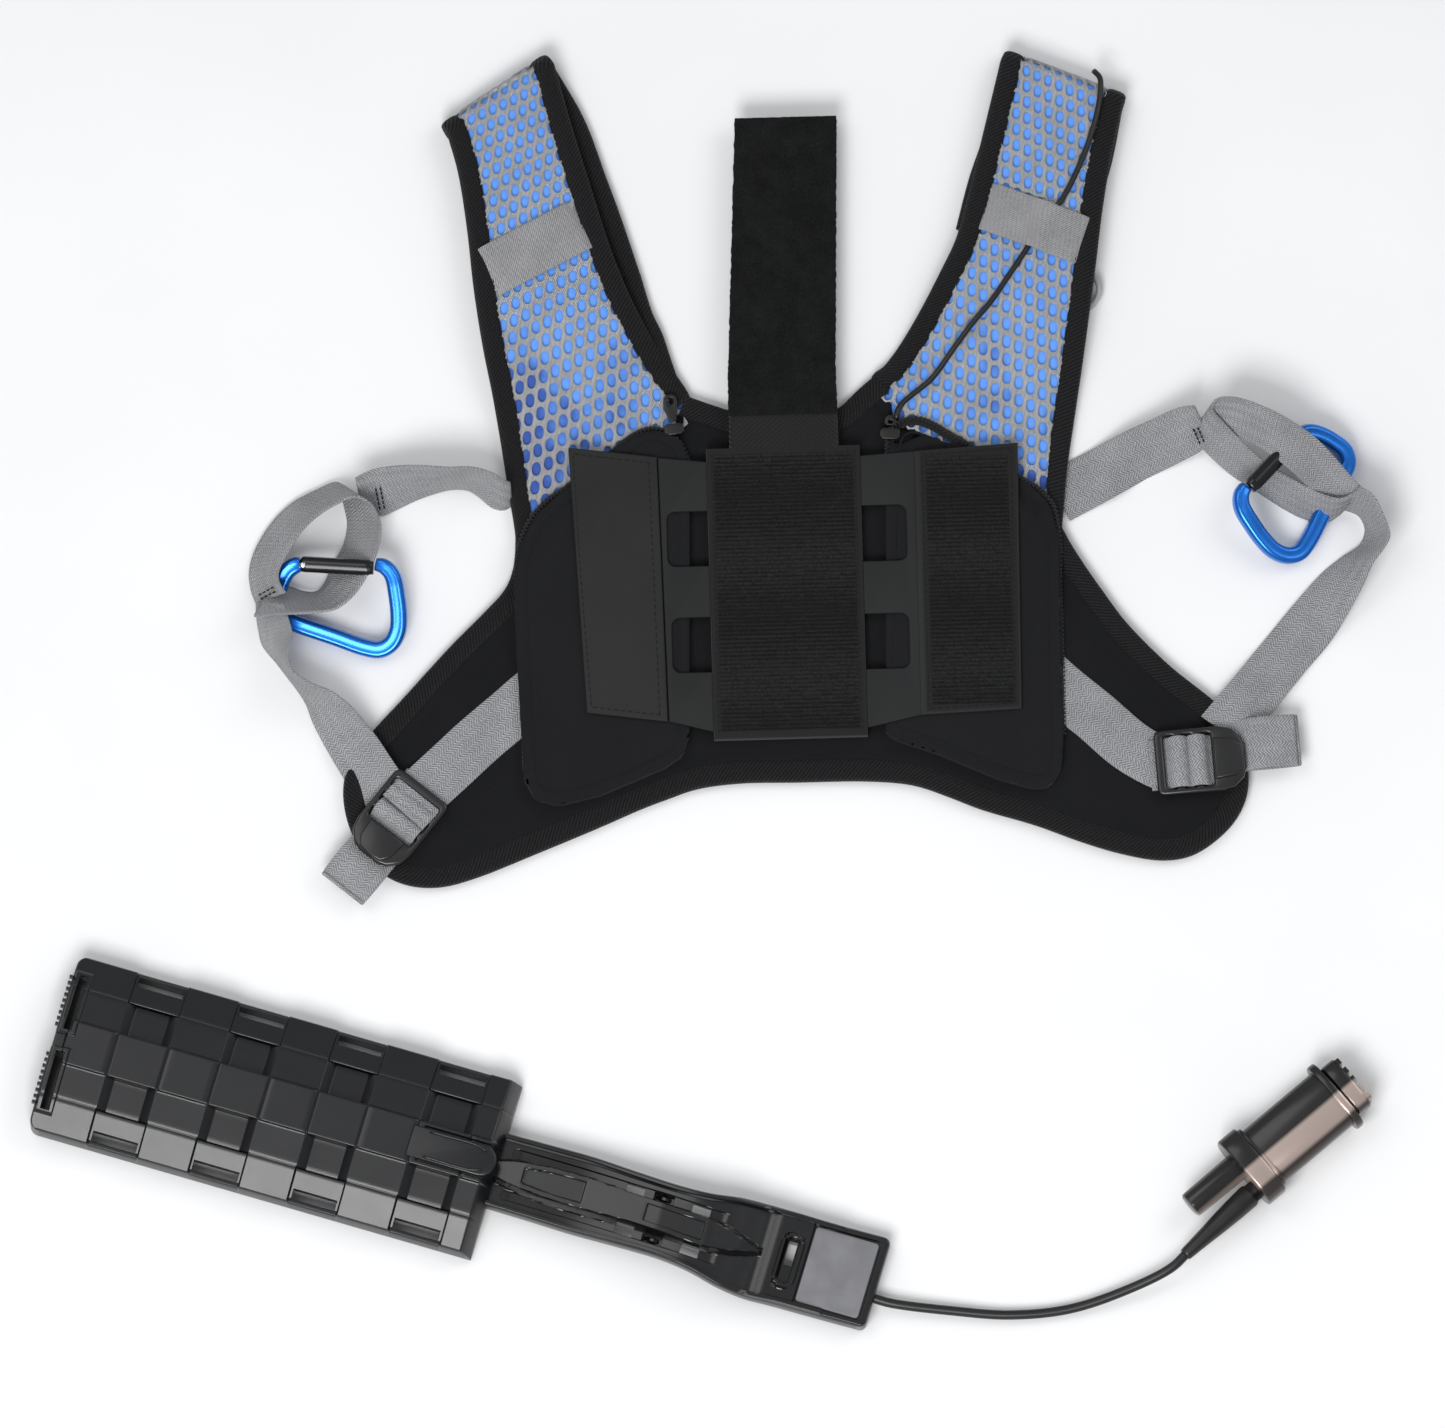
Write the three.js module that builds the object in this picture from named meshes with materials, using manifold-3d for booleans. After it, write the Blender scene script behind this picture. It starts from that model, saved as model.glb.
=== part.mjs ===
// Load-carrying harness vest, with its spinal support strut and push-button cable remote, laid flat.
// Millimetres, +Z up. The origin is on the floor below the centre of the vest's hook panel.
// The shoulder straps point to +Y and "left" is -X. Strut and remote lie beyond the vest's -Y edge.
import * as THREE from 'three';
import { mergeVertices } from 'three/addons/utils/BufferGeometryUtils.js';
import Module from 'manifold-3d';

const wasm = await Module();
wasm.setup();
const { degToRad, mapLinear } = THREE.MathUtils;

// ---------------------------------------------------------------- shared dimensions
const PANEL_Z = [0, 6.3];            // padded vest panel, bottom and top
const ON_PANEL = PANEL_Z[1] + 0.5;   // underside of whatever lies on the panel
const BINDING_WIDTH = 10;            // edge binding tape
const BINDING_Z = [0.1, 6.5];
const PAD_INSET = BINDING_WIDTH + 0.3;
const WEB_WIDTH = 25;
const WEB_THICK = 1.4;

// ---------------------------------------------------------------- solids
// Watertight manifold from any closed geometry, turned outside out if need be.
function solid(geometry) {
  const bare = geometry.clone();
  for (const name of Object.keys(bare.attributes)) {
    if (name !== 'position') bare.deleteAttribute(name);
  }
  const merged = mergeVertices(bare, 1e-4);
  const vertProperties = new Float32Array(merged.attributes.position.array);
  const triVerts = new Uint32Array(merged.index.array);
  const build = () => new wasm.Manifold(new wasm.Mesh({ numProp: 3, vertProperties, triVerts }));
  const manifold = build();
  if (manifold.volume() >= 0) return manifold;
  for (let i = 0; i < triVerts.length; i += 3) {
    [triVerts[i + 1], triVerts[i + 2]] = [triVerts[i + 2], triVerts[i + 1]];
  }
  return build();
}

function geometryOf(manifold) {
  const mesh = manifold.getMesh();
  const positions = new Float32Array(mesh.vertProperties);
  const geometry = new THREE.BufferGeometry();
  geometry.setAttribute('position', new THREE.BufferAttribute(positions, 3));
  geometry.setIndex(new THREE.BufferAttribute(new Uint32Array(mesh.triVerts), 1));
  geometry.computeVertexNormals();
  return geometry;
}

const weld = (geometry) => geometryOf(solid(geometry));
const union = (...parts) => geometryOf(parts.map(solid).reduce((sum, part) => sum.add(part)));
const cut = (body, ...tools) =>
  geometryOf(tools.map(solid).reduce((rest, tool) => rest.subtract(tool), solid(body)));

// ---------------------------------------------------------------- basic shapes
// Ranges are [low, high] pairs.
const planShape = (outline) => new THREE.Shape(outline.map(([x, y]) => new THREE.Vector2(x, y)));

// Flat slab from a plan outline.
function slab(outline, [bottom, top]) {
  const options = { depth: top - bottom, bevelEnabled: false, steps: 1 };
  const geometry = new THREE.ExtrudeGeometry(planShape(outline), options);
  geometry.translate(0, 0, bottom);
  return geometry;
}

function box(...ranges) {
  const sizes = ranges.map(([low, high]) => high - low);
  const centre = ranges.map(([low, high]) => (low + high) / 2);
  return new THREE.BoxGeometry(...sizes).translate(...centre);
}

function cylinderZ(radius, [x, y], [bottom, top], sides) {
  const geometry = new THREE.CylinderGeometry(radius, radius, top - bottom, sides);
  geometry.rotateX(Math.PI / 2);
  geometry.translate(x, y, (bottom + top) / 2);
  return geometry;
}

// Rod or cone on the x axis, with a radius for each end of its range.
function rodX([start, end], [startRadius, endRadius], sides) {
  const geometry = new THREE.CylinderGeometry(endRadius, startRadius, end - start, sides);
  geometry.rotateZ(-Math.PI / 2);
  geometry.translate((start + end) / 2, 0, 0);
  return geometry;
}

// Solid through stations, each a closed loop of the same number of points.
function loft(stations) {
  const count = stations[0].length;
  const triangles = [];
  for (let i = 0; i + 1 < stations.length; i++) {
    for (let j = 0; j < count; j++) {
      const here = i * count + j;
      const beside = i * count + ((j + 1) % count);
      const next = here + count;
      const nextBeside = beside + count;
      // both faces of a twisted band share one diagonal
      if (count === 4 && j === 2) triangles.push(here, beside, next, beside, nextBeside, next);
      else triangles.push(here, beside, nextBeside, here, nextBeside, next);
    }
  }
  const last = (stations.length - 1) * count;
  for (let j = 1; j + 1 < count; j++) {
    triangles.push(0, j + 1, j);
    triangles.push(last, last + j, last + j + 1);
  }
  const positions = new Float32Array(stations.flat(2));
  const geometry = new THREE.BufferGeometry();
  geometry.setAttribute('position', new THREE.BufferAttribute(positions, 3));
  geometry.setIndex(triangles);
  return weld(geometry);
}

// Cross-section of [y, z] points extruded along x.
const prism = (section, range) => loft(range.map((x) => section.map(([y, z]) => [x, y, z])));

// Band between two edges. Each station holds its edge points and the thickness direction;
// the layer is its lower and upper offset along that direction.
function band(stations, [low, high]) {
  return loft(stations.map(({ left, right, normal }) => {
    const lift = (point, height) => point.map((value, axis) => value + normal[axis] * height);
    return [lift(left, low), lift(right, low), lift(right, high), lift(left, high)];
  }));
}

// Band that faces straight up; rows: left x, y, right x, y, height.
function levelBand(rows, layer) {
  const stations = rows.map(([leftX, leftY, rightX, rightY, z]) => (
    { left: [leftX, leftY, z], right: [rightX, rightY, z], normal: [0, 0, 1] }));
  return band(stations, layer);
}

function smoothCurve(points) {
  const vectors = points.map((point) => new THREE.Vector3(...point));
  return new THREE.CatmullRomCurve3(vectors, false, 'centripetal');
}

// Webbing along a smooth curve; stations: x, y, z, width direction x, y, z, share of full width.
function ribbon(stations, samples) {
  const centreLine = smoothCurve(stations.map(([x, y, z]) => [x, y, z]));
  const halfWidths = smoothCurve(stations.map(([, , , x, y, z, share = 1]) => {
    const scale = ((WEB_WIDTH / 2) * share) / Math.hypot(x, y, z);
    return [x * scale, y * scale, z * scale];
  }));
  const sections = [];
  for (let i = 0; i <= samples; i++) {
    const centre = centreLine.getPoint(i / samples);
    const half = halfWidths.getPoint(i / samples);
    const normal = centreLine.getTangent(i / samples).cross(half).setLength(WEB_THICK / 2);
    sections.push([[-1, -1], [1, -1], [1, 1], [-1, 1]].map(([across, up]) =>
      centre.clone().addScaledVector(half, across).addScaledVector(normal, up).toArray()));
  }
  return loft(sections);
}

function tube(points, radius, steps, sides) {
  const circle = [];
  for (let i = 0; i < sides; i++) {
    const angle = (i / sides) * 2 * Math.PI;
    circle.push([radius * Math.cos(angle), radius * Math.sin(angle)]);
  }
  const options = { steps, extrudePath: smoothCurve(points), bevelEnabled: false };
  return weld(new THREE.ExtrudeGeometry(planShape(circle), options));
}

// ---------------------------------------------------------------- plan outlines
// Moves an open polyline to its left by a distance, with mitred corners.
function offset(points, distance) {
  return points.map(([x, y], i) => {
    const before = points[Math.max(i - 1, 0)];
    const after = points[Math.min(i + 1, points.length - 1)];
    let edgeIn = [x - before[0], y - before[1]];
    let edgeOut = [after[0] - x, after[1] - y];
    if (Math.hypot(...edgeIn) < 1e-9) edgeIn = edgeOut;
    if (Math.hypot(...edgeOut) < 1e-9) edgeOut = edgeIn;
    const lengthIn = Math.hypot(...edgeIn);
    const lengthOut = Math.hypot(...edgeOut);
    const mitreX = -edgeIn[1] / lengthIn - edgeOut[1] / lengthOut;
    const mitreY = edgeIn[0] / lengthIn + edgeOut[0] / lengthOut;
    const scale = (2 * distance) / Math.max(mitreX * mitreX + mitreY * mitreY, 0.5);
    return [x + mitreX * scale, y + mitreY * scale];
  });
}

// Slab between two offsets of a polyline.
const strip = (points, [near, far], zRange) =>
  slab([...offset(points, near), ...offset(points, far).reverse()], zRange);

function arc([centreX, centreY], radius, startDegrees, endDegrees, steps) {
  const points = [];
  for (let i = 0; i <= steps; i++) {
    const angle = degToRad(startDegrees + ((endDegrees - startDegrees) * i) / steps);
    points.push([centreX + radius * Math.cos(angle), centreY + radius * Math.sin(angle)]);
  }
  return points;
}

function roundedRect([x0, x1], [y0, y1], radius, steps = 4) {
  return [
    ...arc([x1 - radius, y0 + radius], radius, -90, 0, steps),
    ...arc([x1 - radius, y1 - radius], radius, 0, 90, steps),
    ...arc([x0 + radius, y1 - radius], radius, 90, 180, steps),
    ...arc([x0 + radius, y0 + radius], radius, 180, 270, steps),
  ];
}

// A range on the positive side, or its mirror image on the negative side.
const mirrored = ([near, far], side) => (side > 0 ? [near, far] : [-far, -near]);

// Point moved a plan distance towards another; its height stays.
function towards([x, y, ...height], [targetX, targetY], distance) {
  const share = distance / Math.hypot(targetX - x, targetY - y);
  return [x + (targetX - x) * share, y + (targetY - y) * share, ...height];
}

// Plan place of a point given in a turned local frame.
function toPlan([originX, originY], degrees, [x, y]) {
  const cos = Math.cos(degToRad(degrees));
  const sin = Math.sin(degToRad(degrees));
  return [originX + x * cos - y * sin, originY + x * sin + y * cos];
}

// ---------------------------------------------------------------- materials and assembly
const FINISHES = {
  cloth: { color: 0x16181b, roughness: 0.95 },
  binding: { color: 0x101113, roughness: 0.9 },
  mesh: { color: 0x7f93b8, roughness: 0.85 },
  foam: { color: 0x3d77d6, roughness: 0.9 },
  web: { color: 0x8a8c92, roughness: 0.85 },
  hook: { color: 0x141517, roughness: 0.95 },
  neoprene: { color: 0x2b2d2d, roughness: 0.75 },
  loop: { color: 0x0d0e0e, roughness: 1 },
  blue: { color: 0x1a7fd4, roughness: 0.28, metalness: 0.9 },
  black: { color: 0x0b0c0d, roughness: 0.35 },
  steel: { color: 0xb9bcc0, roughness: 0.25, metalness: 1 },
  plastic: { color: 0x1c1e21, roughness: 0.38 },
  satin: { color: 0x2a2523, roughness: 0.3 },
  rubber: { color: 0x1b1a1a, roughness: 0.6 },
  zip: { color: 0x0e0f10, roughness: 0.5 },
};
const root = new THREE.Group();

function add(name, geometry, finish, parent = root) {
  const mesh = new THREE.Mesh(geometry, new THREE.MeshStandardMaterial(FINISHES[finish]));
  mesh.name = name;
  parent.add(mesh);
}

function addFrame([x, y], degrees, z = 0) {
  const frame = new THREE.Group();
  frame.position.set(x, y, z);
  frame.rotation.z = degToRad(degrees);
  root.add(frame);
  return frame;
}

// ---------------------------------------------------------------- vest panel
// Panel edge [x, y] from the left strap's seam round the -Y side to the right strap's seam.
const PANEL_EDGE = [
  [-128.725, 25.74], [-129.2, 16.02], [-133, 3.88], [-143.45, -8.26], [-158.175, -23.31],
  [-169.575, -35.93], [-182.875, -50.99], [-196.175, -65.56], [-206.625, -78.67],
  [-210.425, -93.24], [-208.525, -109.26], [-201.875, -123.83], [-192.375, -134.51],
  [-180.025, -140.34], [-164.825, -141.31], [-148.2, -136.94], [-117.325, -124.31],
  [-88.825, -112.17], [-69.35, -103.43], [-55.575, -98.09], [-43.225, -93.72],
  [-22.325, -90.81], [4.275, -90.32], [39.425, -89.84], [60.325, -91.78], [77.425, -97.61],
  [92.15, -103.43], [118.275, -111.2], [139.175, -118.97], [158.175, -124.8],
  [177.65, -128.2], [191.425, -126.26], [203.3, -118.97], [213.275, -108.29],
  [218.5, -95.66], [218.5, -83.52], [215.175, -68.96], [208.05, -56.82], [200.45, -49.53],
  [181.925, -34.48], [161.025, -13.11], [151.05, 0.49], [142.025, 13.6], [134.425, 25.74],
  [130.625, 33.02],
];
// Neck edge [x, y] from the right strap's seam to the left strap's seam.
const NECK_EDGE = [
  [40.375, 105.38], [34.675, 100.52], [29.925, 95.66], [24.225, 90.32], [13.3, 86.92],
  [0, 85.95], [-12.825, 86.44], [-24.7, 88.86], [-36.575, 92.75], [-46.075, 96.15],
];
const SEAM_GAP = 0.35;      // keeps panel and straps separate pieces
const BINDING_SETBACK = 0.8; // binding ends short of the seam corners

function addPanel() {
  const cutZ = [-2, 9];
  const edges = [PANEL_EDGE, NECK_EDGE];
  const seams = [[NECK_EDGE.at(-1), PANEL_EDGE[0]], [PANEL_EDGE.at(-1), NECK_EDGE[0]]];
  const seamCuts = seams.map((seam) => strip(seam, [-3, SEAM_GAP], cutZ));
  const edgeCuts = edges.map((edge) => strip(edge, [-3, PAD_INSET], cutZ));
  add('back_panel', cut(slab(edges.flat(), PANEL_Z), ...edgeCuts, ...seamCuts), 'cloth');

  const names = ['panel_binding', 'neck_binding'];
  edges.forEach((edge, i) => {
    const run = [
      towards(edge[0], edge[1], BINDING_SETBACK),
      ...edge.slice(1, -1),
      towards(edge.at(-1), edge.at(-2), BINDING_SETBACK),
    ];
    add(names[i], cut(strip(run, [0, BINDING_WIDTH], BINDING_Z), ...seamCuts), 'binding');
  });
}
addPanel();

// ---------------------------------------------------------------- shoulder straps
const PLY_LOW = 3.3;    // height of the lower ply's middle
const PLY_HIGH = 10.5;  // height of the upper ply's middle
const PLY_MID = (PLY_LOW + PLY_HIGH) / 2;
const FOLD_RADIUS = (PLY_HIGH - PLY_LOW) / 2;
const FOLD_STEPS = 6;
const SEAM_START = 0.02; // share of the first span left free at the seam
const FULL_EDGE = -0.001; // inset that lands on the right edge
// Cross lines: left x, y, right x, y. The upper rows add a height and run from the panel seam
// to the fold; the under rows run back along the under ply.
const STRAPS = {
  left: {
    upper: [
      [-128.725, 25.74, -46.075, 96.15, PLY_LOW], [-132.525, 52.44, -50.825, 104.4, PLY_LOW],
      [-135.85, 74.3, -57, 113.14, PLY_LOW], [-139.65, 96.15, -65.075, 125.77, PLY_MID],
      [-144.4, 119.46, -75.05, 144.71, PLY_HIGH], [-148.675, 147.14, -84.075, 167.53, PLY_HIGH],
      [-152, 177.24, -93.575, 197.64, PLY_HIGH], [-156.275, 204.44, -103.075, 228.72, PLY_HIGH],
      [-161.5, 223.38, -111.15, 257.85, PLY_HIGH],
    ],
    under: [
      [-150.575, 211.24, -97.85, 232.6], [-137.75, 181.61, -85.025, 202.98],
      [-127.3, 153.45, -74.575, 174.82], [-123.025, 136.45, -69.825, 157.82],
    ],
  },
  right: {
    upper: [
      [40.375, 105.38, 130.625, 33.02, PLY_LOW], [46.55, 111.69, 133, 60.7, PLY_LOW],
      [53.675, 121.4, 136.8, 87.89, PLY_LOW], [63.175, 136.94, 140.6, 113.14, PLY_MID],
      [73.15, 155.88, 143.925, 137.42, PLY_HIGH], [80.75, 172.39, 146.775, 159.28, PLY_HIGH],
      [86.45, 193.27, 149.625, 183.56, PLY_HIGH], [91.675, 215.12, 153.425, 207.84, PLY_HIGH],
      [102.125, 259.31, 159.6, 236.97, PLY_HIGH],
    ],
    under: [
      [94.05, 224.83, 154.375, 210.26], [86.925, 202.98, 148.675, 190.84],
      [80.75, 178.7, 142.025, 168.99],
    ],
  },
};

// Part of a cross line. An inset >= 0 counts from the left edge, < 0 from the right edge.
function crossLine([leftX, leftY, rightX, rightY], z, insets) {
  const length = Math.hypot(rightX - leftX, rightY - leftY);
  const along = [(rightX - leftX) / length, (rightY - leftY) / length];
  const [left, right] = insets.map((inset) => {
    const [x, y] = inset >= 0 ? [leftX, leftY] : [rightX, rightY];
    return [x + along[0] * inset, y + along[1] * inset, z];
  });
  return { left, right, along };
}

const moveStation = (station, target, distance) => ({
  ...station,
  left: towards(station.left, target.left, distance),
  right: towards(station.right, target.right, distance),
});

function strapStations(side, insets, endSetback = 0) {
  const { upper, under } = STRAPS[side];
  const up = upper.map((row) => ({ ...crossLine(row, row[4], insets), normal: [0, 0, 1] }));
  for (const key of ['left', 'right']) {
    up[0][key] = up[0][key].map((value, i) => value + (up[1][key][i] - value) * SEAM_START);
  }
  const foldLine = upper.at(-1);
  const fold = [];
  for (let i = 1; i < FOLD_STEPS; i++) {
    const angle = (i / FOLD_STEPS) * Math.PI;
    const cos = Math.cos(angle);
    const sin = Math.sin(angle);
    const { left, right, along } = crossLine(foldLine, PLY_MID + FOLD_RADIUS * cos, insets);
    const outward = [-along[1] * sin, along[0] * sin];
    for (const point of [left, right]) {
      point[0] += outward[0] * FOLD_RADIUS;
      point[1] += outward[1] * FOLD_RADIUS;
    }
    fold.push({ left, right, normal: [...outward, cos] });
  }
  const down = [foldLine, ...under].map((row) => (
    { ...crossLine(row, PLY_LOW, insets), normal: [0, 0, -1] }));
  down.push(moveStation(down.pop(), down.at(-1), endSetback));
  return [...up, ...fold, ...down];
}

function strapBinding(side) {
  const layer = [-3.2, 3.2];
  const [beforeEnd, end] = strapStations(side, [0, FULL_EDGE]).slice(-2);
  return union(
    band(strapStations(side, [0, BINDING_WIDTH]), layer),
    band(strapStations(side, [-BINDING_WIDTH, FULL_EDGE]), layer),
    band([moveStation(end, beforeEnd, BINDING_WIDTH), end], layer), // closes the strap's end
  );
}

for (const side of ['left', 'right']) {
  const inner = strapStations(side, [PAD_INSET, -PAD_INSET], PAD_INSET);
  add(`${side}_strap_pad`, band(inner, [-3, 0.9]), 'foam');
  add(`${side}_strap_mesh`, band(inner, [1.2, 3]), 'mesh');
  add(`${side}_strap_binding`, strapBinding(side), 'binding');
}

// ---------------------------------------------------------------- strap fittings
const LEFT_KEEPER = [[-142.5, 169.47], [-138.7, 142.77], [-95.475, 167.53], [-102.6, 189.38]];
// The right keeper arches over the pull cord; rows: far x, y, near x, y, height.
const RIGHT_KEEPER = [
  [99.75, 198.12, 94.05, 175.79, 14.5], [109.725, 194.24, 104.025, 171.9, 14.8],
  [118.275, 191.33, 113.525, 168.02, 17.2], [125.875, 188.9, 122.55, 164.62, 18],
  [134.425, 185.98, 131.1, 161.22, 17.6], [141.55, 183.07, 138.7, 158.79, 16.4],
];
// Cord centre line [x, y, z] from the neck to the fold.
const PULL_CORD = [
  [55.338, 91.78, 8.4], [61.275, 97.12, 8.4], [68.875, 104.4, 8.6], [80.75, 120.43, 10.6],
  [89.3, 131.6, 13.6], [97.375, 140.82, 15.4], [115.425, 167.53, 15.5],
  [123.975, 177.73, 15.5], [132.525, 189.87, 15.5], [142.025, 208.32, 15.5],
  [148.675, 228.72, 15.5], [150.575, 241.34, 15.5],
];
const RING = { radius: 10, wireRadius: 1.6, centre: [138.7, 149.08, 3.4] };

add('left_elastic_keeper', slab(LEFT_KEEPER, [14, 15]), 'web');
add('right_elastic_keeper', levelBand(RIGHT_KEEPER, [-0.5, 0.5]), 'web');
add('right_pull_cord', tube(PULL_CORD, 1.4, 22, 8), 'rubber');
const ringShape = new THREE.TorusGeometry(RING.radius, RING.wireRadius, 8, 28);
add('right_shoulder_ring', weld(ringShape.translate(...RING.centre)), 'steel');

// ---------------------------------------------------------------- pockets and zips
const POCKET_Z = [ON_PANEL, 11];
const POCKET_INSET = 3.1;      // pocket edge inside the zip arc
const ZIP_ZONE = 29.14;        // the zip bounds the pocket this far above the arc's centre (+Y)
// Arc centre and radius; slider angle and travel in degrees; turn is the opening direction.
const ZIPS = {
  left: {
    centre: [-40.85, -16.5104], radius: 96.9, start: 97.6, travel: 42, turn: 1, pullerTip: 17.5,
  },
  right: {
    centre: [44.175, -28.8932], radius: 106.4, start: 87.4, travel: -41, turn: -1, pullerTip: 9.5,
  },
};
// Pocket outlines [x, y].
const POCKETS = {
  left: [
    [-46.075, 64.58], [-50.825, 74.3], [-60.325, 79.15], [-69.825, 78.67], [-76, 75.75],
    [-81.7, 70.9], [-92.625, 61.67], [-103.075, 52.44], [-111.625, 45.16], [-119.7, 37.88],
    [-124.925, 30.59], [-126.825, 23.31], [-130.15, 6.31], [-128.725, -27.68],
    [-126.825, -61.67], [-124.925, -90.81], [-119.7, -100.52], [-108.775, -103.43],
    [-88.825, -98.58], [-57.475, -84.98], [-48.925, -78.67], [-46.075, -68.96],
  ],
  right: [
    [47.025, 64.58], [47.025, -68.96], [49.875, -71.38], [53.675, -72.35], [71.25, -78.18],
    [101.175, -90.81], [116.85, -95.18], [125.4, -94.21], [130.625, -84.98],
    [131.575, -68.96], [130.15, -22.34], [128.725, 28.16], [123.975, 44.19],
    [113.05, 54.87], [102.6, 60.21], [92.15, 66.04], [83.125, 71.38], [74.575, 76.72],
    [66.5, 80.12], [58.9, 82.07], [49.875, 76.24],
  ],
};

// Pocket outline kept inside its zip.
function pocketOutline(side) {
  const { centre, radius } = ZIPS[side];
  const limit = radius - POCKET_INSET;
  return POCKETS[side].map(([x, y]) => {
    const distance = Math.hypot(x - centre[0], y - centre[1]);
    const outside = y > centre[1] + ZIP_ZONE && distance > limit;
    return outside ? towards(centre, [x, y], limit) : [x, y];
  });
}

function zipTrack({ centre, radius, start, travel, turn }) {
  const from = start - 3 * turn;
  const to = start + travel + 4 * turn;
  const outer = arc(centre, radius + 2.2, from, to, 12);
  const inner = arc(centre, radius - 2.4, from, to, 12);
  return slab([...outer, ...inner.reverse()], [6.9, 8.3]);
}

function zipPuller(tip) {
  const plate = slab([[3.3, -2.2], [tip - 2.5, -3.4], [tip - 0.5, -2.4], [tip, 0],
    [tip - 0.5, 2.4], [tip - 2.5, 3.4], [3.3, 2.2]], [7.6, 9.2]);
  return cut(plate, cylinderZ(1.9, [tip - 3.2, 0], [7, 10], 12));
}

const ZIP_SLIDER = [[-2.7, -3.2], [-1.6, -4.8], [1.6, -4.8], [2.7, -3.2], [2.7, 3.4],
  [1.4, 4.8], [-1.4, 4.8], [-2.7, 3.4]];

for (const side of ['left', 'right']) {
  add(`${side}_pocket`, slab(pocketOutline(side), POCKET_Z), 'cloth');
}
for (const [side, zip] of Object.entries(ZIPS)) {
  add(`${side}_zip_track`, zipTrack(zip), 'zip');
  // local x runs outwards from the arc, local y along the zip
  const frame = addFrame(toPlan(zip.centre, zip.start, [zip.radius, 0]), zip.start);
  add(`${side}_zip_slider`, slab(ZIP_SLIDER, [8.6, 11.2]), 'steel', frame);
  add(`${side}_zip_puller`, zipPuller(zip.pullerTip), 'steel', frame);
}

// ---------------------------------------------------------------- hook panel, wings, centre strap
// All lie in a frame turned slightly about the origin.
const PANEL_TILT = 1.6;            // degrees
const HOOK_HALF_X = 73 / 2;
const HOOK_HALF_Y = 141 / 2;
const HOOK_Z = [ON_PANEL, 13.8];
const WING_Z = [11.6, 13.2];
const WING_ROOT = HOOK_HALF_X + 1.3; // wing edge beside the hook panel
const FOLD_GAP = 1.15;             // half gap at a fold line
const WINDOW_RADIUS = 5;
// Fold lines between strip and flap: +Y end, -Y end.
const LEFT_FOLD = [[-60.2, 65.8], [-58.2, -60.6]];
const RIGHT_FOLD = [[63.9, 65.7], [63.6, -60.7]];
const STRAP_START = HOOK_HALF_Y + 4.8;
const STRAP_SEAM = HOOK_HALF_Y + 15.4;
const STRAP_FOLD = HOOK_HALF_Y + 37.7;

// Point beside a fold line at a given y.
const besideFold = ([[x0, y0], [x1, y1]], y, gap) => [mapLinear(y, y0, y1, x0, x1) + gap, y];

function wingStrip(outline, windows) {
  const tools = windows.map((ranges) => slab(roundedRect(...ranges, WINDOW_RADIUS), [10, 15]));
  return cut(slab(outline, WING_Z), ...tools);
}

function addHookPanelAndWings() {
  const frame = addFrame([0, 0], PANEL_TILT);
  const hookPanel = box([-HOOK_HALF_X, HOOK_HALF_X], [-HOOK_HALF_Y, HOOK_HALF_Y], HOOK_Z);
  add('hook_panel', hookPanel, 'hook', frame);

  add('left_wing_strip', wingStrip([
    [-WING_ROOT, -66.4], [-WING_ROOT, 63.3],
    besideFold(LEFT_FOLD, 65.6, FOLD_GAP), besideFold(LEFT_FOLD, -61, FOLD_GAP),
  ], [[[-55.6, -40.6], [13.6, 39.6]], [[-54.6, -40.6], [-37.2, -11]]]), 'neoprene', frame);
  add('left_wing_flap', slab([
    besideFold(LEFT_FOLD, -60.5, -FOLD_GAP), besideFold(LEFT_FOLD, 65.9, -FOLD_GAP),
    [-101.5, 71.6], [-96.6, -55.3],
  ], WING_Z), 'neoprene', frame);
  add('right_wing_strip', wingStrip([
    [WING_ROOT, -66.2], besideFold(RIGHT_FOLD, -60.7, -FOLD_GAP),
    besideFold(RIGHT_FOLD, 65.7, -FOLD_GAP), [WING_ROOT, 64.1],
  ], [[[41, 58], [13.7, 40]], [[41, 57.6], [-37.6, -11.5]]]), 'neoprene', frame);
  add('right_wing_flap', slab([
    besideFold(RIGHT_FOLD, -60.7, FOLD_GAP), [110, -59.1],
    [111.5, 68.2], besideFold(RIGHT_FOLD, 65.7, FOLD_GAP),
  ], WING_Z), 'neoprene', frame);
  const patch = [[66.2, -58.6], [108.6, -57.2], [110, 66.3], [66.4, 64]];
  add('right_hook_patch', slab(patch, [WING_Z[1] + 0.1, WING_Z[1] + 0.9]), 'hook', frame);

  // Centre strap: bare webbing at the base, then loop fabric on both sides of a fold line.
  add('top_strap_webbing', slab([[-24.5, STRAP_START], [26.5, STRAP_START],
    [26.3, STRAP_SEAM], [-24.7, STRAP_SEAM]], WING_Z), 'web', frame);
  add('top_strap_lower', slab([[-24.5, STRAP_SEAM + 0.3], [26.3, STRAP_SEAM + 0.3],
    [26.2, STRAP_FOLD - FOLD_GAP], [-24.3, STRAP_FOLD - FOLD_GAP]], WING_Z), 'loop', frame);
  add('top_strap_upper', slab([[-24.2, STRAP_FOLD + FOLD_GAP], [26.2, STRAP_FOLD + FOLD_GAP],
    [31, HOOK_HALF_Y + 159.5], [-17.2, HOOK_HALF_Y + 160.5]], WING_Z), 'loop', frame);
}
addHookPanelAndWings();

// ---------------------------------------------------------------- side webbing
const ANCHOR_Z = [ON_PANEL, ON_PANEL + WEB_THICK];
const ANCHORS = { // outlines [x, y]
  left: [[-132.525, -46.13], [-132.525, -73.33], [-160.55, -104.4], [-181.925, -85.95]],
  right: [[134.425, -35.93], [134.425, -61.19], [162.925, -87.89], [174.325, -95.66],
    [177.175, -68.96], [162.925, -54.87]],
};
const LOOP_LEAN = [0.45, -0.1, 0.88]; // width direction on the left loop's outer run
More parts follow.
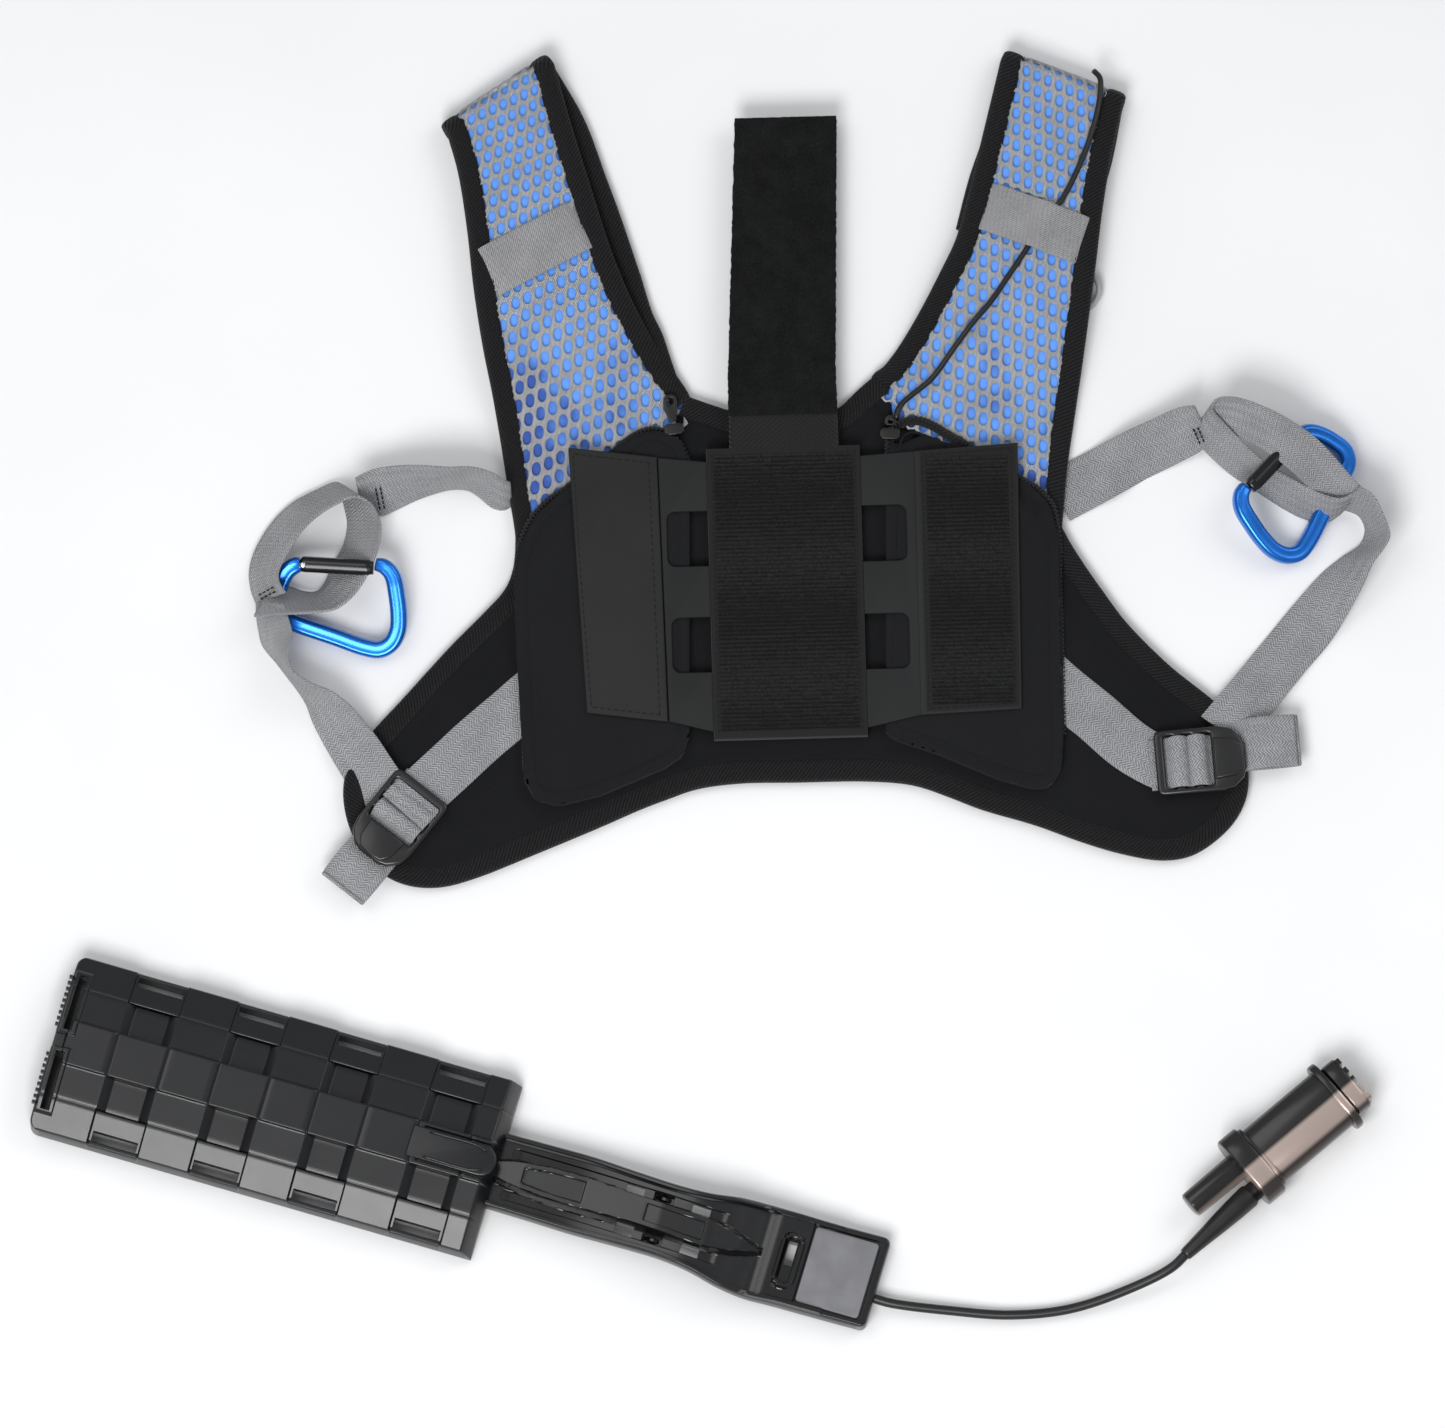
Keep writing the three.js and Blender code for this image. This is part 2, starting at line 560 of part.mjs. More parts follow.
// Stations: x, y, z, width direction x, y, z, share of full width (1 if left out).
const WEBBING = {
  left_upper_webbing: { samples: 12, stations: [
    [-136.325, 49.05, 9, 0.5, 0.5, 0.65], [-142.975, 54.39, 11.4, -0.3, 0.75, 0.6],
    [-154.375, 58.27, 13.2, -0.1, 0.5, 0.85], [-169.575, 57.79, 12, 0, 0.75, 0.62],
    [-181.925, 54.39, 8.5, 0.1, 0.92, 0.35], [-191.425, 51.47, 7.5, 0.15, 0.97, 0.12],
  ] },
  left_webbing_loop: { samples: 44, stations: [
    [-249.375, 8.26, 12.6, ...LOOP_LEAN], [-247.475, 21.37, 12.6, ...LOOP_LEAN],
    [-241.775, 31.56, 12.6, ...LOOP_LEAN], [-233.7, 40.79, 12.6, ...LOOP_LEAN],
    [-223.25, 47.59, 12.6, ...LOOP_LEAN], [-211.85, 51.96, 12.6, ...LOOP_LEAN],
    [-203.775, 53.9, 12.6, ...LOOP_LEAN], [-198.55, 51.47, 12.4, ...LOOP_LEAN],
    [-198.075, 45.16, 12, 0.5, -0.1, 0.85], [-199.975, 37.88, 11.2, 0.6, -0.12, 0.76],
    [-201.875, 29.14, 9, 0.75, -0.2, 0.6], [-205.675, 17.97, 6, 0.85, -0.35, 0.33, 0.92],
    [-210.425, 8.74, 5, 0.8, -0.55, 0.26, 0.85], [-218.025, 1.46, 6.8, 0.45, -0.8, 0.4, 0.75],
    [-228.475, -1.94, 11.2, 0.1, -0.92, 0.36, 0.7],
    [-237.025, -3.4, 15.4, 0, -0.98, 0.05, 0.66], [-245.1, -4.37, 16.4, 0, -1, 0, 0.64],
  ] },
  left_lower_webbing: { samples: 18, stations: [
    [-246.525, -19.42, 12.6, 1, 0.1, 0, 0.95], [-244.15, -26.71, 9.6, 0.98, 0.15, 0],
    [-237.5, -38.36, 4.2, 0.9, 0.42, 0], [-228.475, -50.99, 1.6, 0.8, 0.6, 0],
    [-219.925, -62.64, 3.4, 0.75, 0.66, 0], [-210.9, -75.27, 7.6, 0.72, 0.69, 0],
    [-193.8, -92.75, 7.7, 0.7, 0.71, 0],
  ] },
  right_upper_webbing: { samples: 10, stations: [
    [142.025, 56.82, 4.6, -0.35, 0.93, 0, 1.05], [148.675, 61.67, 3.4, -0.4, 0.91, 0],
    [167.675, 71.87, 4.2, -0.5, 0.87, 0], [179.55, 78.18, 7, -0.46, 0.88, 0],
    [191.425, 83.52, 10.8, -0.42, 0.9, 0.05, 0.95],
  ] },
  right_webbing_loop: { samples: 36, stations: [
    [261.725, 48.07, 12.4, 0.5, 0.85, 0, 0.7], [252.225, 50.5, 10.8, 0.42, 0.9, 0, 0.85],
    [238.925, 56.82, 9.5, 0.5, 0.86, 0, 0.95], [225.625, 65.07, 9.1, 0.5, 0.86, 0, 0.95],
    [213.275, 74.3, 9.6, 0.5, 0.86, 0, 0.85], [204.25, 81.1, 11, 0.4, 0.9, 0, 0.75],
    [199.975, 84.98, 14.2, 0.35, 0.93, 0, 0.65], [204.25, 89.35, 17.6, 0.3, 0.95, 0, 0.75],
    [212.325, 89.84, 19.6, 0.2, 0.97, 0, 0.85], [225.625, 84.98, 21, 0.4, 0.91, 0, 0.95],
    [241.3, 74.3, 21.3, 0.6, 0.8, 0, 0.98], [255.55, 61.19, 20, 0.68, 0.73, 0, 0.95],
    [264.1, 52.44, 17.2, 0.6, 0.8, 0, 0.75],
  ] },
  right_lower_webbing: { samples: 24, stations: [
    [270.75, 49.53, 14.6, 0.35, 0.9, 0.2, 0.62], [277.4, 43.7, 13.2, 0.75, 0.5, 0.4, 0.8],
    [279.775, 33.51, 12.6, 0.55, 0.1, 0.82], [275.975, 22.34, 10.8, 0.7, -0.2, 0.68],
    [265.525, 7.28, 6.4, 0.8, -0.5, 0.34], [249.85, -12.14, 1.8, 0.78, -0.62, 0],
    [236.55, -28.65, 1.6, 0.78, -0.62, 0], [225.625, -42.25, 4.4, 0.77, -0.64, 0],
    [217.075, -53.42, 7.6, 0.77, -0.64, 0], [208.05, -62.64, 7.7, 0.8, -0.6, 0],
  ] },
};

for (const [side, outline] of Object.entries(ANCHORS)) {
  add(`${side}_anchor_webbing`, slab(outline, ANCHOR_Z), 'web');
}
for (const [name, { samples, stations }] of Object.entries(WEBBING)) {
  add(name, ribbon(stations, samples), 'web');
}

// ---------------------------------------------------------------- ladder-lock buckles
const LOCK_LENGTH = 43;
const LOCK_WIDTH = 31.4;
const LOCK_Z = [9.4, 13];
const LOCK_OPENINGS = [[-17, -11.8], [-8.8, -2.6], [0.4, 5.6]]; // x ranges
// Place, turn in degrees, and the webbing tail's sideways shift and x range.
const LOCKS = {
  left: { place: [-185.535, -111.3481], turn: -128.5, tailY: 0, tailX: [11.5, 38] },
  right: { place: [196.46, -81.5808], turn: 5, tailY: 6.2, tailX: [14, 46] },
};

// Local x runs from the fixed bar to the thumb tab.
function ladderLock() {
  const end = LOCK_LENGTH / 2;
  const half = LOCK_WIDTH / 2;
  const outline = [[-end + 3, -half], [end - 12, -half], [end - 4, -half + 4],
    [end, -half + 10], [end, half - 10], [end - 4, half - 4], [end - 12, half],
    [-end + 3, half], [-end, half - 3], [-end, -half + 3]];
  const openings = LOCK_OPENINGS.map((range) => box(range, [-half + 2.8, half - 2.8], [5, 16]));
  return cut(slab(outline, LOCK_Z), ...openings);
}

function webbingTail(centreY, [start, end]) {
  const profile = [[start, 14.3], [19, 14.3], [24, 13.4], [31, 10.6], [end, 9.2]]; // x, z
  const half = WEB_WIDTH / 2;
  return levelBand(profile.map(([x, z]) => [x, centreY - half, x, centreY + half, z]), [-0.8, 0.8]);
}

for (const [side, { place, turn, tailY, tailX }] of Object.entries(LOCKS)) {
  const frame = addFrame(place, turn);
  add(`${side}_ladder_lock`, ladderLock(), 'black', frame);
  add(`${side}_webbing_tail`, webbingTail(tailY, tailX), 'web', frame);
}

// ---------------------------------------------------------------- carabiners
// Local plane: x along the spine towards the wide end, y towards the gate.
const ROD_RADIUS = 4.3;
const GATE_RADIUS = 3.6;
const CARABINER_TILT = 20;     // degrees the gate side leans up
const PIVOT = [5.1, 28.2];
const PIVOT_HOLE_RADIUS = 1.4;
const GATE_END = [36.5, 37.2];
const BODY_LINE = [ // rod centre line [x, y]
  [1.6, 27.2], [-0.9, 23.8], [-2.2, 18], [-2.3, 11], [-1.2, 4.6], [3, 0.6], [10, 0], [30, 0],
  [46, 0], [52.5, 1.4], [56.6, 6], [57.6, 13], [55.6, 20.5], [52, 28.5], [47.6, 36], [43, 40],
  [39.6, 39.9],
];
const TONGUE = [[-1, 24.6], [5.1, 24.8], [7.5, 26], [8.4, 28.2], [7.5, 30.4], [5.1, 31.4],
  [1, 30.6]];
const TONGUE_Z = [-1.5, 1.5];

const pivotHole = (centre) => cylinderZ(PIVOT_HOLE_RADIUS, centre, [-6, 6], 16);

function carabinerBody() {
  const rod = tube(BODY_LINE.map(([x, y]) => [x, y, 0]), ROD_RADIUS, 46, 12);
  // the rod is cleared above and below the tongue
  const clearances = [1, -1].map((side) =>
    box([1.3, 12], [22, 36], mirrored([TONGUE_Z[1], 6], side)));
  return cut(union(rod, slab(TONGUE, TONGUE_Z)), pivotHole(PIVOT), ...clearances);
}

function carabinerGate() {
  const reach = [GATE_END[0] - PIVOT[0], GATE_END[1] - PIVOT[1]];
  const rod = rodX([0, Math.hypot(...reach) - 0.6], [GATE_RADIUS, GATE_RADIUS], 12);
  const knuckle = cylinderZ(3.3, [0, 0], [-3.5, 3.5], 16);
  const fork = box([-5, 5.2], [-6, 6], [-1.9, 1.9]);
  const gate = cut(union(rod, knuckle), fork, pivotHole([0, 0]));
  gate.rotateZ(Math.atan2(reach[1], reach[0]));
  return gate.translate(...PIVOT, 0);
}

function addCarabiner(side, place, spineDirection, gateTurn) {
  const tilt = degToRad(CARABINER_TILT);
  const up = new THREE.Vector3(0, 0, 1);
  const spine = new THREE.Vector3(...spineDirection, 0).normalize();
  const gateSide = up.clone().cross(spine).multiplyScalar(gateTurn * Math.cos(tilt))
    .addScaledVector(up, Math.sin(tilt));
  const axes = new THREE.Matrix4().makeBasis(spine, gateSide, spine.clone().cross(gateSide));
  const frame = new THREE.Group();
  frame.quaternion.setFromRotationMatrix(axes);
  frame.position.set(...place, ROD_RADIUS + 0.3);
  root.add(frame);
  add(`${side}_carabiner_body`, carabinerBody(), 'blue', frame);
  add(`${side}_carabiner_gate`, carabinerGate(), 'black', frame);
  add(`${side}_gate_pin`, cylinderZ(1.1, PIVOT, [-4, 4], 12), 'steel', frame);
}
addCarabiner('left', [-243.2, -10.1976], [0.943, -0.332], 1);
addCarabiner('right', [268.28, 66.8671], [-0.453, -0.892], -1);

// ---------------------------------------------------------------- support strut
// Local x runs from the housing's closed end to the mast's pad.
const STRUT_PLACE = [-347.795, -218.1801];
const STRUT_TURN = -16.4;      // degrees
const HOUSING_LENGTH = 219;
const HOUSING_WIDTH = 87;
const RAISED = [[0, 29], [54, 79], [104, 128], [152.5, 178], [203.6, HOUSING_LENGTH]]; // x ranges
const RECESS_DROP = 1.8;       // recessed segments lie this much lower
// Cross-sections [y, z] of the space inside and of the mast's way out.
const CAVITY = [[-33.9, -1], [33.9, -1], [33.9, 10.5], [22, 15.5], [11, 20.4], [-11, 20.4],
  [-22, 15.5], [-33.9, 10.5]];
const MAST_OPENING = [[-19.6, 3.6], [19.6, 3.6], [19.6, 14.6], [11.5, 18.6], [-11.5, 18.6],
  [-19.6, 14.6]];
const CENTRE_STRIP = [[14, -13], [14, 13], [18, 15], [212, 15], [212, -15], [18, -15]];
const strut = addFrame(STRUT_PLACE, STRUT_TURN);

function housingProfile(drop) {
  const half = HOUSING_WIDTH / 2;
  const crown = 23.5 - drop * 0.6;
  return [[-half, 0.3], [half, 0.3], [half, 14 - drop], [30, 20 - drop], [14, crown],
    [-14, crown], [-30, 20 - drop], [-half, 14 - drop]];
}

function housingCover() {
  let cover = solid(prism(housingProfile(RECESS_DROP), [0, HOUSING_LENGTH - 2]));
  const join = (geometry) => { cover = cover.add(solid(geometry)); };
  const remove = (geometry) => { cover = cover.subtract(solid(geometry)); };

  for (const range of RAISED) join(prism(housingProfile(0), range));
  join(slab(CENTRE_STRIP, [18, 24.2]));
  remove(prism(CAVITY, [9, HOUSING_LENGTH - 4]));
  remove(prism(MAST_OPENING, [200, HOUSING_LENGTH + 2]));
  for (let i = 0; i + 1 < RAISED.length; i++) {
    const range = [RAISED[i][1] + 1.2, RAISED[i + 1][0] - 1.2];
    for (const side of [-1, 1]) {
      remove(box(range, mirrored([36.6, 41], side), [-2, 30])); // through slot beside the rail
      remove(box(range, mirrored([41.2, 46], side), [7, 30]));  // rail stands lower
    }
  }
  for (const side of [1, -1]) { // deep slots at the closed end
    remove(slab(roundedRect([3, 7.6], mirrored([5, 34], side), 2.2), [5, 30]));
  }
  for (let i = 0; i < 9; i++) { // teeth on the closed end's face
    const toothY = 7.5 + i * 3.1;
    for (const side of [-1, 1]) {
      join(box([-1.1, 0.4], mirrored([toothY - 0.5, toothY + 0.5], side), [6, 17]));
    }
  }
  remove(box([181, 240], [-9.2, 9.2], [17, 30])); // opening for the latch tongue
  return geometryOf(cover);
}

function housingBase() {
  const slots = [165, 175, 185, 195].map((x) => box([x - 2.2, x + 2.2], [-6, 6], [-1, 4]));
  return cut(slab(roundedRect([9.6, 212.8], [-33.4, 33.4], 4), [0.3, 2.7]), ...slots);
}

// Cantilever snap in the cover's mast end, with a tooth below and a rounded finger tip.
function latchTongue() {
  const outline = [[181.5, -8], ...arc([213.2, 0], 8, -90, 90, 8), [181.5, 8]];
  return union(slab(outline, [21.2, 24]), box([196, 200], [-6, 6], [18.9, 21.6]));
}

// Mast stations: x, centre y, half width, bottom z, top z.
const MAST_END = 408;
const MAST = [
  [150, 0, 18, 5, 13.5], [217, 0, 18.3, 5, 13.5], [257, 0, 18.2, 5.2, 13.7],
  [285, -1, 17.8, 8, 16.5], [305, -2, 17.8, 11.5, 19.8], [320, -2.8, 18.8, 12.6, 20.4],
  [335, -3.2, 21.6, 10.8, 18.5], [350, -2.8, 22, 6.5, 14.5], [365, -2.2, 22, 3, 11.5],
  [380, -2, 22, 2, 10.5], [MAST_END, -1.5, 22.2, 1.5, 10],
];
// Centre rib stations: x, centre y, half width at the top, half width at the foot, top z.
const RIB = [
  [216, 0, 3, 5.5, 15], [235, 0, 7.5, 10, 17], [257, 0, 7.5, 11, 17.6], [285, -1, 6, 10.5, 19.6],
  [305, -2, 5, 9.5, 22], [320, -2.8, 5, 9, 22.4], [335, -3.2, 4, 7, 19.6],
  [349, -2.8, 0.8, 1.6, 13.6],
];
const MAST_SLOTS = [[284, 13.2], [302, 12.2], [319.5, 11.4], [283, -15], [300.5, -16],
  [318, -17]]; // centres [x, y]
const TROUGH_WALL = 2.6; // side rails and floor
const THROUGH = [-2, 40];

function mastBottom(x) {
  const next = MAST.findIndex(([stationX]) => x <= stationX);
  return mapLinear(x, MAST[next - 1][0], MAST[next][0], MAST[next - 1][3], MAST[next][3]);
}

// Guided inside the housing, arched outside, ending in a flat pad.
function mast() {
  const rectangle = (x, y, half, bottom, top) => [[x, y - half, bottom], [x, y + half, bottom],
    [x, y + half, top], [x, y - half, top]];
  const outer = loft(MAST.map((station) => rectangle(...station)));
  // open at the top, from the guided part to the pad
  const trough = loft(MAST.slice(1, 9).map(([x, y, half, bottom]) =>
    rectangle(x, y, half - TROUGH_WALL, bottom + TROUGH_WALL, bottom + 30)));
  const rib = loft(RIB.map(([x, y, halfTop, halfFoot, top]) => {
    const foot = mastBottom(x) + 1.2;
    return [[x, y - halfFoot, foot], [x, y + halfFoot, foot], [x, y + halfTop, top],
      [x, y - halfTop, top]];
  }));
  const cuts = [
    ...MAST_SLOTS.map(([x, y]) =>
      slab(roundedRect([x - 5.4, x + 5.4], [y - 2.3, y + 2.3], 1.6, 2), THROUGH)),
    slab(roundedRect([360, 367.5], [-14, 10.5], 3.4, 3), THROUGH),      // cross slot
    slab(roundedRect([356.5, 405.4], [-21.6, 18], 3, 3), [9.6, 40]),    // shallow pad recess
    slab(roundedRect([155.4, 166.6], [-5.6, 5.6], 0.8, 2), THROUGH),    // pawl well
  ];
  const body = solid(outer).subtract(solid(trough)).add(solid(rib));
  return geometryOf(cuts.reduce((rest, tool) => rest.subtract(solid(tool)), body));
}

add('housing_cover', housingCover(), 'plastic', strut);
add('housing_base', housingBase(), 'plastic', strut);
add('latch_tongue', latchTongue(), 'plastic', strut);
add('mast', mast(), 'plastic', strut);
add('lock_pawl', box([156, 166], [-5, 5], [3.1, 12.4]), 'steel', strut);

// ---------------------------------------------------------------- remote
// Local x runs from the cable boot to the button.
const REMOTE_PLACE = [220.2575, -278.7344];
const REMOTE_TURN = 40.6;      // degrees
const REMOTE_Z = 12.3;
const BARREL_Y = 4.6;
const BOOT_Y = -9.4;
const BOOT_START = -6.4;       // wide end at the collar
const BOOT_END = BOOT_START - 45;
const BOOT_LEAN = 2.6;         // degrees
const WELL_START = 40;         // x of the button well's floor
const SPRING = { start: WELL_START + 0.95, step: 0.09, radius: 3.6, perTurn: 10, points: 40 };
const remote = addFrame(REMOTE_PLACE, REMOTE_TURN, REMOTE_Z);

// Bar along x with a round-ended section.
function obround(width, height, range) {
  const radius = Math.min(width, height) / 2 - 0.01;
  const section = roundedRect([-width / 2, width / 2], [-height / 2, height / 2], radius, 5);
  return prism(section, range);
}

function remoteBody() {
  const barrel = rodX([-35, -5], [6.5, 6.9], 20).translate(0, BARREL_Y, 0);
  const parts = [
    obround(38.4, 23.4, [-5.5, 5.5]), // collar
    obround(31, 18.6, [5, 50.2]),     // grip
    obround(38, 22.4, [50, 54]),      // rim round the button
    barrel,
  ];
  const body = parts.map(solid).reduce((sum, part) => sum.add(part));
  return geometryOf(body.subtract(solid(obround(26, 13.6, [WELL_START, 60]))));
}

function buttonSpring() {
  const coil = [];
  for (let i = 0; i <= SPRING.points; i++) {
    const angle = (i / SPRING.perTurn) * 2 * Math.PI;
    coil.push([SPRING.start + i * SPRING.step, SPRING.radius * Math.cos(angle),
      SPRING.radius * Math.sin(angle)]);
  }
  return tube(coil, 0.3, 60, 5);
}

function cableBoot() {
  const boot = rodX([BOOT_END, BOOT_START], [2.95, 4.9], 20);
  boot.rotateZ(degToRad(BOOT_LEAN));
  return weld(boot.translate(0, BOOT_Y, 0));
}

const button = union(obround(29, 17, [61, 64.5]), obround(25, 12.6, [50.2, 61.5]));
add('remote_body', remoteBody(), 'satin', remote);
add('remote_button', button, 'satin', remote);
add('button_spring', buttonSpring(), 'steel', remote);
add('strain_relief_boot', cableBoot(), 'rubber', remote);

// ---------------------------------------------------------------- cable
const CABLE_RADIUS = 2.3;
const CABLE_START_Y = -8;      // on the mast's end, in the strut's frame
const CABLE_START_Z = 5.6;
const CABLE_GAP = 1;           // room for the cable's end to turn against the mast
const CABLE_END = BOOT_END - 0.35;
const CABLE_MIDDLE = [[77.425, -346.72, 4.4], [105.925, -348.66, 3.6], [134.425, -345.75, 4],
  [162.925, -336.52, 7.5]];

function cable() {
  const atMast = (distance) =>
    [...toPlan(STRUT_PLACE, STRUT_TURN, [MAST_END + distance, CABLE_START_Y]), CABLE_START_Z];
  const atBoot = (x, z) => {
    const local = toPlan([0, BOOT_Y], BOOT_LEAN, [x, 0]);
    return [...toPlan(REMOTE_PLACE, REMOTE_TURN, local), z];
  };
  const path = [atMast(CABLE_GAP), atMast(8), ...CABLE_MIDDLE,
    atBoot(CABLE_END - 9, 11.3), atBoot(CABLE_END, REMOTE_Z)];
  return tube(path, CABLE_RADIUS, 26, 10);
}
add('cable_outer', cable(), 'rubber');

export default root;
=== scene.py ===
# A padded vest with two shoulder straps, webbing, buckles and carabiners, a support strut
# with a mast, and a remote on a cable, all lying on a floor at z = 0. x runs to the right,
# y from the viewer (front) towards the shoulder straps, z up. The vest is centred on x = 0,
# the strut starts at the front left and the remote lies at the front right.
# All sizes and tables are in millimetres; meshes are scaled to metres when they are made.
import bpy, bmesh, math
import numpy as np
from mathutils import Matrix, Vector


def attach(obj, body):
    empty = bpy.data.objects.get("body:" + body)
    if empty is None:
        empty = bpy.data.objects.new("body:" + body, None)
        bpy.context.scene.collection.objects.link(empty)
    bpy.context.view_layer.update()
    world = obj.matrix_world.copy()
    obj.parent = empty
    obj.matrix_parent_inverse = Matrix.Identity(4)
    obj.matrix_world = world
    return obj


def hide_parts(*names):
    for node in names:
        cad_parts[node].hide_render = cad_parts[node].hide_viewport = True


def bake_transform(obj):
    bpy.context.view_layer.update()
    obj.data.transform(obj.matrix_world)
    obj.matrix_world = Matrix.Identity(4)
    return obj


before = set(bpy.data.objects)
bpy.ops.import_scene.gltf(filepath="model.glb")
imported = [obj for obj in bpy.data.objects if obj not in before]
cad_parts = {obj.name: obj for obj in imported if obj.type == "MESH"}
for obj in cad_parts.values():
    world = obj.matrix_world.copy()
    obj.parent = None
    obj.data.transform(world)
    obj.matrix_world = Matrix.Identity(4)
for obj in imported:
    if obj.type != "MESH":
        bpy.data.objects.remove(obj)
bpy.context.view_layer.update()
scene = bpy.context.scene
random = np.random.default_rng(7)

MM = 0.001
UP = np.array([0, 0, 1.0])
SIDES = {"left": -1, "right": 1}            # sign of x on each side
HOOK_TILT = math.radians(1.6)               # turn of the hook panel and all that joins it
STRUT_ORIGIN, STRUT_TURN = (-347.795, -218.18008), math.radians(-16.4)
REMOTE_ORIGIN, REMOTE_TURN = (220.2575, -278.7344), math.radians(40.6)
REMOTE_HEIGHT = 12.3


def unit(v):
    v = np.asarray(v, float)
    length = np.linalg.norm(v, axis=-1, keepdims=True)
    return v / np.where(length < 1e-9, 1, length)


def placer(origin, angle, height=0.0):
    """A function that turns local x, y, z (numbers or arrays) and moves them to an origin."""
    c, s = math.cos(angle), math.sin(angle)

    def place(x, y, z):
        world = origin[0] + x * c - y * s, origin[1] + x * s + y * c, z + height
        return np.stack(np.broadcast_arrays(*world), -1)
    return place


def axes(angle):
    c, s = math.cos(angle), math.sin(angle)
    return np.array([c, s, 0]), np.array([-s, c, 0])


on_hook = placer((0, 0), HOOK_TILT)
on_strut = placer(STRUT_ORIGIN, STRUT_TURN)
on_remote = placer(REMOTE_ORIGIN, REMOTE_TURN, REMOTE_HEIGHT)


# ---------------------------------------------------------------- materials
class Shader:
    """A principled material with short calls for its texture nodes."""

    def __init__(self, name):
        self.material = bpy.data.materials.new(name)
        self.material.use_nodes = True
        self.tree = self.material.node_tree
        self.principled = self.tree.nodes["Principled BSDF"]

    def put(self, node, key, value):
        if isinstance(value, bpy.types.NodeSocket):
            self.tree.links.new(value, node.inputs[key])
        else:
            node.inputs[key].default_value = value

    def node(self, kind, **inputs):
        node = self.tree.nodes.new("ShaderNode" + kind)
        for key, value in inputs.items():
            self.put(node, key, value)
        return node

    def math(self, operation, *values):
        node = self.node("Math")
        node.operation = operation
        for i, value in enumerate(values):
            self.put(node, i, value)
        return node.outputs[0]

    def add(self, a, b):
        return self.math("ADD", a, b)

    def mul(self, a, b):
        return self.math("MULTIPLY", a, b)

    def wave(self, value, pitch):
        return self.math("SINE", self.mul(value, 2 * math.pi / pitch))

    def millimetres(self, kind="Object", turn=0.0):
        source = self.node("TexCoord").outputs[kind]
        return self.node("Mapping", Vector=source, Scale=(1000, 1000, 1000),
                         Rotation=(0, 0, turn)).outputs[0]

    def split(self, vector):
        return self.node("SeparateXYZ", Vector=vector).outputs

    def noise(self, vector, scale, detail=3.0, rough=0.55):
        return self.node("TexNoise", Vector=vector, Scale=scale, Detail=detail,
                         Roughness=rough).outputs[0]

    def ramp(self, value, stops):
        node = self.tree.nodes.new("ShaderNodeValToRGB")
        self.put(node, 0, value)
        for element, (position, color) in zip(node.color_ramp.elements, stops, strict=False):
            element.position = position
            element.color = (*color, 1)
        for position, color in stops[2:]:
            node.color_ramp.elements.new(position).color = (*color, 1)
        return node.outputs[0]

    def bump(self, height, strength, distance):
        return self.node("Bump", Height=height, Strength=strength, Distance=distance).outputs[0]

    def finish(self, color, rough, metal=0.0, **extra):
        self.put(self.principled, "Base Color", color)
        self.put(self.principled, "Roughness", rough)
        self.put(self.principled, "Metallic", metal)
        for key, value in extra.items():
            self.put(self.principled, key.replace("_", " "), value)
        return self.material


def shade(color, factor):
    return tuple(min(1, x * factor) for x in color)


def cloth_material(name, color, pitch=0.9, contrast=0.35):
    """Plain weave of the given thread pitch."""
    s = Shader(name)
    vector = s.millimetres()
    x, y, _ = s.split(vector)
    weave = s.mul(s.wave(x, pitch), s.wave(y, pitch))
    cloud = s.noise(vector, scale=0.02, detail=4)
    fine = s.noise(vector, scale=0.9, detail=2)
    tone = s.add(s.mul(weave, 0.15), s.add(s.mul(fine, 0.6), s.mul(cloud, 0.5)))
    tint = s.ramp(tone, [(0.2, shade(color, 1 - contrast)), (0.9, shade(color, 1 + contrast))])
    height = s.add(s.mul(weave, 0.5), fine)
    return s.finish(tint, rough=0.85, Normal=s.bump(height, strength=0.5, distance=0.0004),
                    Sheen_Weight=0.05, Sheen_Roughness=0.4, Specular_IOR_Level=0.14)


def twill_material(name, color):
    """Slanting ribs that follow the tape."""
    s = Shader(name)
    vector = s.millimetres("UV")
    along, across, _ = s.split(vector)
    rib = s.wave(s.add(along, s.mul(across, 0.8)), pitch=1.9)
    tone = s.add(s.mul(rib, 0.3), s.noise(vector, scale=0.8))
    tint = s.ramp(tone, [(0.25, shade(color, 0.5)), (0.95, shade(color, 3.2))])
    return s.finish(tint, rough=0.7, Normal=s.bump(tone, strength=1.0, distance=0.0008),
                    Sheen_Weight=0.06, Specular_IOR_Level=0.16)


def webbing_material(name, color, column=3.1, pitch=1.5):
    """Herringbone ribs that turn at each column, with small dark gaps between the yarns."""
    s = Shader(name)
    vector = s.millimetres("UV")
    along, across, _ = s.split(vector)
    zigzag = s.math("PINGPONG", across, column)
    rib = s.wave(s.add(along, s.mul(zigzag, 0.9)), pitch)
    fine = s.noise(vector, scale=0.7)
    cloud = s.noise(vector, scale=0.05)
    tone = s.add(s.mul(rib, 0.22), s.add(s.mul(fine, 0.55), s.mul(cloud, 0.45)))
    dots = s.mul(s.wave(s.add(along, across), pitch=2.1), s.wave(across, pitch=1.7))
    gaps = s.math("MAXIMUM", s.math("SUBTRACT", dots, 0.45), 0.0)
    tone = s.math("SUBTRACT", tone, s.mul(gaps, 0.75))
    tint = s.ramp(tone, [(0.12, shade(color, 0.42)), (0.9, shade(color, 1.32))])
    height = s.add(s.mul(rib, 0.7), fine)
    return s.finish(tint, rough=0.8, Normal=s.bump(height, strength=0.9, distance=0.0005),
                    Sheen_Weight=0.15, Specular_IOR_Level=0.3)


